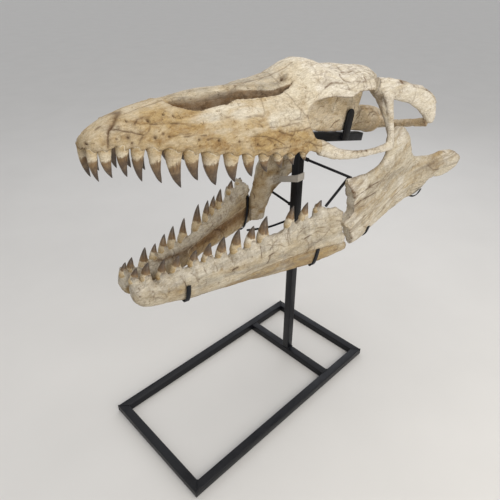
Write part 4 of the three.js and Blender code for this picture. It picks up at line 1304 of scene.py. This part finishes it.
def weldBead(points, seed, radius=stand["bead"]):
    # overlapping drops of weld metal along a broken line
    corners = [np.array(p, float) for p in points]
    path = []
    for a, b in zip(corners[:-1], corners[1:]):
        count = max(6, int(np.linalg.norm(b - a) / stand["weldStep"]))
        path += [a + (b - a) * k / count for k in range(count)]
    path = np.array(path + [corners[-1]])
    gone = np.r_[0, np.cumsum(np.linalg.norm(np.diff(path, axis=0), axis=1))]
    drop = np.abs(np.sin(gone * math.pi / stand["weldDrop"]))
    end = ease(np.minimum(gone, gone[-1] - gone), -0.5, 2.5)
    size = radius * (0.72 + 0.28 * drop + 0.12 * noise(path, 7, seed)) * (0.25 + 0.75 * end)
    return tubeAlong("bead", path, size[:, None], 10, (0.31, 0.57, 0.76))


def threadedRod(name, start, end):
    start, end = np.array(start, float), np.array(end, float)
    length, turns = np.linalg.norm(end - start), roundTurn(12)
    t = np.linspace(0, 1, int(length / stand["pitch"] * 5))[:, None]
    helix = 2 * math.pi * t * length / stand["pitch"] - turns
    radius = stand["rod"] - stand["thread"] * (0.5 + 0.5 * np.cos(helix))
    return tubeAlong(name, start + t * (end - start), radius, len(turns), (0.2, 0.1, 1))


def nut(centre, direction, radius=stand["nut"], thick=stand["nutThick"]):
    # six-sided nut, turned to lie across a rod
    bpy.ops.object.select_all(action="DESELECT")
    turn = Vector(direction).to_track_quat("Z", "Y").to_euler()
    bpy.ops.mesh.primitive_cylinder_add(vertices=6, radius=radius * mm, depth=thick * mm,
                                        location=Vector(centre) * mm, rotation=turn)
    item = bpy.context.active_object
    bpy.ops.object.transform_apply(location=True, rotation=True, scale=True)
    return finishModifier(item, "BEVEL", width=stand["nutBevel"] * mm, segments=2, limit_method="ANGLE")


def stripAlong(name, path, across):
    # a flat bar bent along a path; across is the direction of its width
    ahead = unit(np.gradient(path, axis=0))
    out = unit(np.cross(ahead, across))
    wide, thick, bevel = stand["stripWide"] / 2, stand["stripThick"] / 2, stand["bevel"]
    quarter = [(wide, thick - bevel), (wide - bevel, thick)]
    corners = quarter + [(-u, v) for u, v in quarter[::-1]]
    corners += [(-u, -v) for u, v in corners]
    rings = [[p + across * u + o * v for u, v in corners] for p, o in zip(path, out)]
    return skin(name, rings, inPlace)


def clipPath(spec, x, y, low, top, half, highest, clear):
    # a strip that goes down the outer face of a jaw and under it
    high = (top - low) / 2
    a = np.radians(np.linspace(highest, stand["clipEnd"], 40))
    local = np.stack([x + (high + clear) * stand["clipLean"] * np.sin(a),
                      y - (half + clear) * power(np.cos(a), jawForm["across"]),
                      low + high + (high + clear) * power(np.sin(a), jawForm["up"])], 1)
    return toWorld(local, spec) / mm


def buildWelds():
    # weld beads: mitred corners, the cross tube, the foot of the post, the rail and its pad
    beads = []
    low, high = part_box("stand_base_left")
    _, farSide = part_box("stand_base_right")
    x0, x1, y0, y1, top = low.x / mm, high.x / mm, low.y / mm, farSide.y / mm, stand["tube"]
    for k, (x, y) in enumerate([(x0, y0), (x0, y1), (x1, y0), (x1, y1)]):
        inX, inY = x + math.copysign(top, -x if x < 0 else -1), y + math.copysign(top, -y)
        corner = [(x, y, 2), (x, y, top), (inX, inY, top + 0.2), (inX, inY, 2)]
        beads.append(weldBead(corner, 10 + k, 1.7))
    half = top / 2
    for k, side in enumerate((-1, 1)):
        y = side * (y1 - top)
        beads.append(weldBead([(-half, y, 2), (-half, y, top), (half, y, top), (half, y, 2)], 20 + k))
        beads.append(weldBead([(-half, y - side, top), (half, y - side, top)], 24 + k, 2.0))
    foot = [(-half, -half, top), (half, -half, top), (half, half, top), (-half, half, top),
            (-half, -half, top)]
    beads.append(weldBead(foot, 30, 2.8))
    tilt = math.radians(stand["railTilt"])
    railAt = np.array([half + 0.4, 0, stand["railHeight"]])
    drop = np.array([math.sin(tilt), 0, math.cos(tilt)]) * half
    corners = ((1, -half), (-1, -half), (-1, half), (1, half), (1, -half))
    beads.append(weldBead([(half + 0.4, y, (railAt + way * drop)[2]) for way, y in corners], 31))
    along = np.array([math.cos(tilt), 0, -math.sin(tilt)])
    for k, x in enumerate((205, 247)):
        a = railAt + along * x + (0, -half - 0.6, 0)
        beads.append(weldBead([a - drop * 0.7, a + drop], 33 + k, 2.0))
    welds = merge(*beads)
    welds.name = "steel_welds"
    return welds


def buildRods():
    # threaded rods with nuts near one end, and plain arms behind the jaws; how far along each nut sits
    pieces = {}
    weld = stand["tube"] / 2 + stand["arm"]
    rods = {"stand_rod_left_upper": ((4, -weld, 896), (58, -180, 858), (9, 16)),
            "stand_rod_left_lower": ((48, -174, 860), (-62, -174, 796), ()),
            "stand_rod_right": ((-3, weld, 712), (-3, 112, 731), (7,))}
    for node, (start, end, nuts) in rods.items():
        way = np.subtract(end, start) / np.linalg.norm(np.subtract(end, start))
        rod = threadedRod(node.replace("stand", "steel"), start, end)
        nuts = [nut(start + way * far, way) for far in nuts]
        pieces[node] = merge(rod, *nuts) if nuts else rod
    arms = {"stand_arm_left_front": ((-weld, -6, 640), (-300, -28, 626), (-540, -54, 622)),
            "stand_arm_left_rear": ((-6, -weld, 650), (-60, -110, 606), (-112, -168, 590)),
            "stand_arm_right_front": ((-weld, 4, 664), (-80, 60, 632), (-118, 128, 607))}
    for node, points in arms.items():
        path = smoothPath(points, 40)
        arm = tubeAlong(node.replace("stand", "steel"), path, stand["arm"], 20, (0.1, 0.2, 1))
        pieces[node] = merge(arm, nut(points[0], np.subtract(points[1], points[0]), 6.5, 5))
    return pieces


def buildClips():
    # bent strips that hold the jaws, each with a bolt: bone, station, highest angle, clearance
    clips = {"left_front": (leftJaw, 152, 6, 4.5), "left_rear": (leftJaw, 606, -14, 4.5),
             "right": (rightJaw, 590, 20, 4.5), "left_angular": (leftRear, 118, -40, 5.5),
             "left_articular": (leftRear, 436, -30, 9)}
    pieces = {}
    for name, (spec, x, highest, clear) in clips.items():
        rear = spec is leftRear
        y, low, top, half = ((rearBend(x), rearLow(x), rearTop(x), rearThick(x)) if rear
                             else (0, jawLow(x), jawTop(x), jawThick(x)))
        path = clipPath(spec, x, y, low, top, half, highest, clear)
        strip = stripAlong("steel_clip_" + name, path, placeOf(spec)[1][0])
        pieces["stand_clip_" + name] = merge(strip, nut(path[-4] - (0, 0, 3.2), (0, 0, 1), 5.5, 3.6))
    return pieces


tubes = ("base_left", "base_right", "base_front", "base_rear", "cross", "post", "rail", "pad")
standPieces = {"stand_" + name: steelCopy("stand_" + name, "steel_" + name, stand["edge"]) for name in tubes}
strap = steelCopy("stand_strap", "strap_band", 0.9)
standPieces["welds"] = buildWelds()
newPieces = {**buildRods(), **buildClips()}
for node, piece in newPieces.items():
    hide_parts(node)
standPieces.update(newPieces)
print("stand built:", len(standPieces) + 1, "pieces")


# materials

def tone(*levels):
    # a colour as seen on a screen, from 0 to 255, as light
    return tuple(((c / 255 + 0.055) / 1.055) ** 2.4 if c > 10 else c / 255 / 12.92 for c in levels) + (1,)


class Paint:
    # short ways to add and wire the nodes of one material

    def __init__(self, name):
        self.material = bpy.data.materials.new(name)
        self.material.use_nodes = True
        self.nodes = self.material.node_tree.nodes
        self.links = self.material.node_tree.links
        self.shader = self.nodes["Principled BSDF"]
        self.place = self.add("ShaderNodeTexCoord").outputs["Object"]

    def add(self, kind, settings=None, **inputs):
        node = self.nodes.new(kind)
        for key, value in (settings or {}).items():
            setattr(node, key, value)
        for key, value in inputs.items():
            self.give(node.inputs[key.replace("_", " ")], value)
        return node

    def give(self, socket, value):
        if isinstance(value, bpy.types.NodeSocket):
            self.links.new(value, socket)
        else:
            socket.default_value = value

    def mark(self, name):
        return self.add("ShaderNodeAttribute", {"attribute_name": name}).outputs["Fac"]

    def stretched(self, x, y, z, turn=(0, 0, 0)):
        node = self.add("ShaderNodeMapping", Vector=self.place, Scale=(x, y, z), Rotation=turn)
        return node.outputs["Vector"]

    def grain(self, scale, detail=4, roughness=0.55, distortion=0.0, where=None):
        return self.add("ShaderNodeTexNoise", Vector=where or self.place, Scale=scale, Detail=detail,
                        Roughness=roughness, Distortion=distortion).outputs["Fac"]

    def math(self, operation, a, b=0.5, clamp=False):
        node = self.add("ShaderNodeMath", {"operation": operation, "use_clamp": clamp})
        for socket, value in zip(node.inputs, (a, b)):
            self.give(socket, value)
        return node.outputs[0]

    def times(self, a, b):
        return self.math("MULTIPLY", a, b)

    def plus(self, a, b, clamp=False):
        return self.math("ADD", a, b, clamp)

    def span(self, value, low, high, start=0.0, end=1.0):
        # carries low to high over to start to end, eased at both ends
        node = self.add("ShaderNodeMapRange", {"interpolation_type": "SMOOTHSTEP"}, Value=value, From_Min=low,
                        From_Max=high, To_Min=start, To_Max=end)
        return node.outputs["Result"]

    def mix(self, factor, a, b, blend="MIX"):
        node = self.add("ShaderNodeMix", {"data_type": "RGBA", "blend_type": blend})
        for socket, value in ((0, factor), (6, a), (7, b)):
            self.give(node.inputs[socket], value)
        return node.outputs[2]

    def tinted(self, share, colour, shade):
        # the colour with some of it multiplied by a shade
        return self.mix(share, colour, self.mix(1.0, colour, shade, "MULTIPLY"))

    def finish(self, colour, roughness, height=None, depth=0.001, strength=0.6):
        self.give(self.shader.inputs["Base Color"], colour)
        self.give(self.shader.inputs["Roughness"], roughness)
        if height is not None:
            bumpNode = self.add("ShaderNodeBump", Height=height, Distance=depth, Strength=strength)
            self.links.new(bumpNode.outputs["Normal"], self.shader.inputs["Normal"])
        return self.material


boneTones = {"cream": tone(221, 212, 192), "tan": tone(184, 158, 110), "ochre": tone(150, 118, 72),
             "chalk": tone(236, 230, 217), "grey": tone(172, 165, 151)}
# what painted shade in hollows and on cut faces, wrinkles, specks, and the dark of cracks with painted shade
# in holes multiply the colour by; all keep it warm
boneShadowsAndMarks = {"recess": (0.36, 0.26, 0.175, 1), "wrinkle": (0.62, 0.52, 0.40, 1),
               "speck": (0.45, 0.35, 0.24, 1),
               "crevice": (0.20, 0.125, 0.07, 1)}


def boneSurface(paint, tint=0.0, hairs=0.6, lean=10, shade=1.0):
    # colour, roughness and relief of bone; stain, chalk and grey are painted on the mesh, and so are painted
    # shade and the dark of cracks with their painted shade
    turn = (0, math.radians(lean), 0)
    warp = paint.add("ShaderNodeTexNoise", Vector=paint.place, Scale=38, Detail=4).outputs["Color"]
    bend = paint.add("ShaderNodeVectorMath", {"operation": "MULTIPLY_ADD"})
    for socket, value in zip(bend.inputs, (warp, (0.028, 0.028, 0.028), paint.stretched(0.28, 1, 1, turn))):
        paint.give(socket, value)
    blotch = paint.grain(15, 6, 0.6, 0.4)
    middle = paint.grain(70, 5, 0.65, 0.3)
    fine = paint.grain(300, 4, 0.7)
    fibre = paint.grain(230, 4, 0.68, 0.6, paint.stretched(0.22, 1, 1, turn))
    streak = paint.grain(50, 6, 0.68, 0.6, paint.stretched(0.3, 1, 1, turn))
    stain = paint.plus(paint.mark("stain"), paint.span(blotch, 0.3, 0.7, -0.2 + tint, 0.2 + tint))
    stain = paint.plus(stain, paint.span(middle, 0.3, 0.7, -0.13, 0.13), clamp=True)
    colour = paint.mix(stain, boneTones["cream"], boneTones["tan"])
    rust = paint.times(paint.span(streak, 0.45, 0.66, 0.0, 0.9), paint.math("POWER", stain, 1.8))
    chalk = paint.times(paint.mark("chalk"), paint.span(streak, 0.36, 0.6, 0.15, 0.9))
    grey = paint.times(paint.mark("grey"), paint.span(streak, 0.32, 0.6, 0.1, 0.8))
    for share, name in ((rust, "ochre"), (chalk, "chalk"), (grey, "grey")):
        colour = paint.mix(share, colour, boneTones[name])

    # hairline cracks of two sizes that run along the bone, each only in places
    lines = []
    for scale, wide, places, low, high in ((26, 0.030, middle, 0.50, 0.60), (60, 0.05, blotch, 0.54, 0.66)):
        cells = paint.add("ShaderNodeTexVoronoi", {"feature": "DISTANCE_TO_EDGE"}, Vector=bend.outputs[0],
                          Scale=scale)
        line = paint.span(cells.outputs["Distance"], 0.0, wide, 1.0, 0.0)
        lines.append(paint.times(line, paint.span(places, low, high)))
    hair = paint.math("MAXIMUM", *lines)
    specks = paint.span(paint.grain(150, 3, 0.5), 0.67, 0.72, 0.0, 0.6)
    ridged = paint.add("ShaderNodeTexNoise", {"noise_type": "RIDGED_MULTIFRACTAL", "normalize": True},
                       Vector=paint.stretched(0.4, 1, 1, turn), Scale=70, Detail=6, Roughness=0.65)
    wrinkle = paint.span(ridged.outputs["Fac"], 0.45, 0.95, 0.0, 0.34)
    recess = paint.times(paint.mark("recess"), paint.span(middle, 0.25, 0.7, 0.8, 1.0))
    crevice = paint.math("MAXIMUM", paint.mark("crevice"), paint.times(hair, hairs))
    for share, name in ((recess, "recess"), (wrinkle, "wrinkle"), (specks, "speck"), (crevice, "crevice")):
        colour = paint.tinted(share, colour, boneShadowsAndMarks[name])
    # shade scales the middle mottle: above 1 it paints light on a whole copy of the bone, below 1 it paints
    # shade
    for grain, start, end, dark, light in (
            (fine, 0.33, 0.67, (0.88, 0.87, 0.84), (1.06, 1.06, 1.06)),
            (middle, 0.3, 0.66, (0.95 * shade, 0.94 * shade, 0.92 * shade), (1.03 * shade,) * 3),
            (fibre, 0.33, 0.66, (0.82, 0.79, 0.74), (1.08, 1.08, 1.08))):
        mottle = paint.mix(paint.span(grain, start, end), (*dark, 1), (*light, 1))
        colour = paint.mix(1.0, colour, mottle, "MULTIPLY")
    height = paint.plus(paint.times(fine, 0.3), paint.times(fibre, 0.7))
    height = paint.plus(height, paint.times(middle, 0.8))
    height = paint.math("SUBTRACT", height, paint.plus(paint.times(hair, 0.4), paint.times(wrinkle, 0.5)))
    return colour, paint.span(middle, 0.2, 0.8, 0.66, 0.9), height


def boneMaterial(name, **look):
    paint = Paint(name)
    colour, rough, height = boneSurface(paint, **look)
    return paint.finish(colour, rough, height, 0.002, 0.8)


def toothMaterial():
    # roots look like the bone they grow from, crowns are brown enamel that darkens to the tip
    paint = Paint("tooth enamel and root")
    colour, rough, height = boneSurface(paint)
    streak = paint.grain(260, 5, 0.6, 0.4, paint.stretched(1, 1, 0.12))
    patch = paint.grain(60, 4, 0.62)
    level = paint.plus(paint.mark("crown"), paint.span(streak, 0.3, 0.7, -0.022, 0.022))
    level = paint.plus(level, paint.span(patch, 0.3, 0.7, -0.04, 0.04))
    crown = paint.span(level, -0.03, 0.04)
    enamel = paint.mix(paint.span(level, 0.0, 0.34), tone(134, 106, 70), tone(82, 66, 51))
    for share, shade in ((paint.span(streak, 0.46, 0.68, 0.0, 0.75), tone(80, 62, 45)),
                         (paint.times(paint.span(patch, 0.45, 0.65), 0.4), tone(166, 140, 104)),
                         (paint.span(level, 0.32, 0.6, 0.0, 0.85), tone(60, 53, 48)),
                         (paint.times(paint.mark("shade"), 0.3), tone(74, 58, 46))):
        enamel = paint.mix(share, enamel, shade)
    rim = paint.times(paint.span(level, -0.04, 0.0), paint.span(level, 0.04, 0.0))
    colour = paint.mix(crown, colour, enamel)
    colour = paint.mix(paint.times(rim, 0.3), colour, tone(100, 76, 52))
    height = paint.plus(paint.times(height, 0.7), paint.times(crown, 0.5))
    rough = paint.mix(crown, (0.8, 0.8, 0.8, 1), (0.34, 0.34, 0.34, 1))
    return paint.finish(colour, rough, height, 0.001, 0.6)


def steelMaterial():
    paint = Paint("black painted steel")
    grain, smear, scuff = paint.grain(900, 3, 0.5), paint.grain(22, 5, 0.6, 0.5), paint.grain(140, 6, 0.7)
    normal = paint.add("ShaderNodeNewGeometry").outputs["Normal"]
    up = paint.add("ShaderNodeSeparateXYZ", Vector=normal).outputs["Z"]
    dust = paint.times(paint.span(up, 0.5, 1.0), paint.span(smear, 0.35, 0.7, 0.03, 0.2))
    colour = paint.mix(smear, tone(5, 7, 12), tone(11, 13, 20))
    for share in (dust, paint.span(scuff, 0.68, 0.74, 0.0, 0.4)):
        colour = paint.mix(share, colour, tone(58, 57, 58))
    paint.shader.inputs["Specular IOR Level"].default_value = 0.3
    rough = paint.span(paint.plus(smear, dust), 0.3, 1.0, 0.34, 0.62)
    return paint.finish(colour, rough, paint.plus(grain, smear), 0.0004, 0.35)


def strapMaterial():
    paint = Paint("grey strap")
    brushed = paint.grain(500, 4, 0.6, 0, paint.stretched(0.1, 0.1, 1))
    patch = paint.grain(60, 4, 0.6)
    colour = paint.mix(patch, tone(196, 191, 182), tone(166, 160, 150))
    colour = paint.mix(paint.times(brushed, 0.4), colour, tone(214, 210, 202))
    paint.shader.inputs["Metallic"].default_value = 0.15
    return paint.finish(colour, paint.span(patch, 0.3, 0.7, 0.42, 0.6), brushed, 0.0003, 0.4)


sharpAngle = 48             # edges bent more than this stay sharp


def dress(item, *materials):
    faces = read(item.data.polygons, "material_index", kind=np.int32)
    item.data.materials.clear()
    for material in materials:
        item.data.materials.append(material)
    item.data.polygons.foreach_set("material_index", np.minimum(faces, len(materials) - 1))
    select(item)
    bpy.ops.object.shade_smooth_by_angle(angle=math.radians(sharpAngle))
    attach(item, "root")


# shade paints light and shade: the inner bones, which lie in shade, are painted lighter, and the lower jaw is
# painted darker
skins = {"cranium_bone": boneMaterial("fossil bone", shade=0.97),
         "inner_bone": boneMaterial("fossil bone, inner", tint=0.12, shade=1.16),
         "jaw_bone": boneMaterial("fossil bone, lower jaw", hairs=0.14, lean=-6, shade=0.885)}
slots = {"braincase": "inner_bone", "splenial": "inner_bone", "dentary": "jaw_bone", "surangular": "jaw_bone",
         "coronoid": "jaw_bone", "articular": "jaw_bone", "angular": "jaw_bone"}
tooth, steel, greyStrap = toothMaterial(), steelMaterial(), strapMaterial()
for name, item in bones.items():
    item.name = "bone_" + name
    kind = name.split("_")[0]
    slot = slots.get(kind, "cranium_bone")
    dress(item, *([skins[slot], tooth] if kind in ("premaxilla", "maxilla", "dentary") else [skins[slot]]))
    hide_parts(name)
for item in standPieces.values():
    dress(item, steel)
dress(strap, greyStrap)
print("materials given")


# floor, lights and camera

studio = {"floor": 90.0, "world": 0.66, "camera": (-1.137, -0.932, 1.450), "turn": (57.68, 0, -44.3),
          "lens": 32.76, "sensor": 36}
# where each lamp stands, what it looks at, its size, its power and its colour
lamps = {"key": ((-0.9, -2.5, 2.6), (0.05, -0.05, 0.95), 1.5, 31, tone(255, 250, 242)),
         "low": ((0.1, -2.6, 1.1), (0.1, 0.0, 1.0), 1.6, 17, tone(255, 250, 242)),
         "top": ((0.2, 0.3, 3.4), (0.0, 0, 0.9), 2.4, 28, tone(255, 251, 246)),
         "fill": ((2.2, 1.6, 2.2), (0, 0, 0.9), 1.8, 12, tone(240, 244, 255))}


def buildStudio():
    bpy.ops.object.select_all(action="DESELECT")
    bpy.ops.mesh.primitive_plane_add(size=studio["floor"], location=(0, 0, 0))
    floor = bpy.context.active_object
    floor.name = "floor"
    bpy.ops.object.transform_apply(location=True, rotation=True, scale=True)
    paint = Paint("pale floor")
    paint.finish(paint.mix(paint.grain(3, 4, 0.5), tone(214, 212, 208), tone(222, 220, 216)), 0.7)
    floor.data.materials.append(paint.material)
    world = bpy.data.worlds.new("studio")
    bpy.context.scene.world = world
    world.use_nodes = True
    backdrop = world.node_tree.nodes["Background"]
    backdrop.inputs["Color"].default_value = tone(240, 241, 244)
    backdrop.inputs["Strength"].default_value = studio["world"]
    for name, (place, aim, size, strength, colour) in lamps.items():
        bpy.ops.object.light_add(type="AREA", location=place)
        lamp = bpy.context.active_object
        lamp.name = name
        lamp.data.size = size
        lamp.data.energy = strength
        lamp.data.color = colour[:3]
        lamp.rotation_euler = (Vector(aim) - Vector(place)).to_track_quat("-Z", "Y").to_euler()
    bpy.ops.object.camera_add(location=studio["camera"], rotation=[math.radians(a) for a in studio["turn"]])
    camera = bpy.context.active_object
    camera.data.lens = studio["lens"]
    camera.data.sensor_width = studio["sensor"]
    bpy.context.scene.camera = camera
    bpy.context.scene.view_settings.view_transform = "Standard"


buildStudio()
print("studio ready")
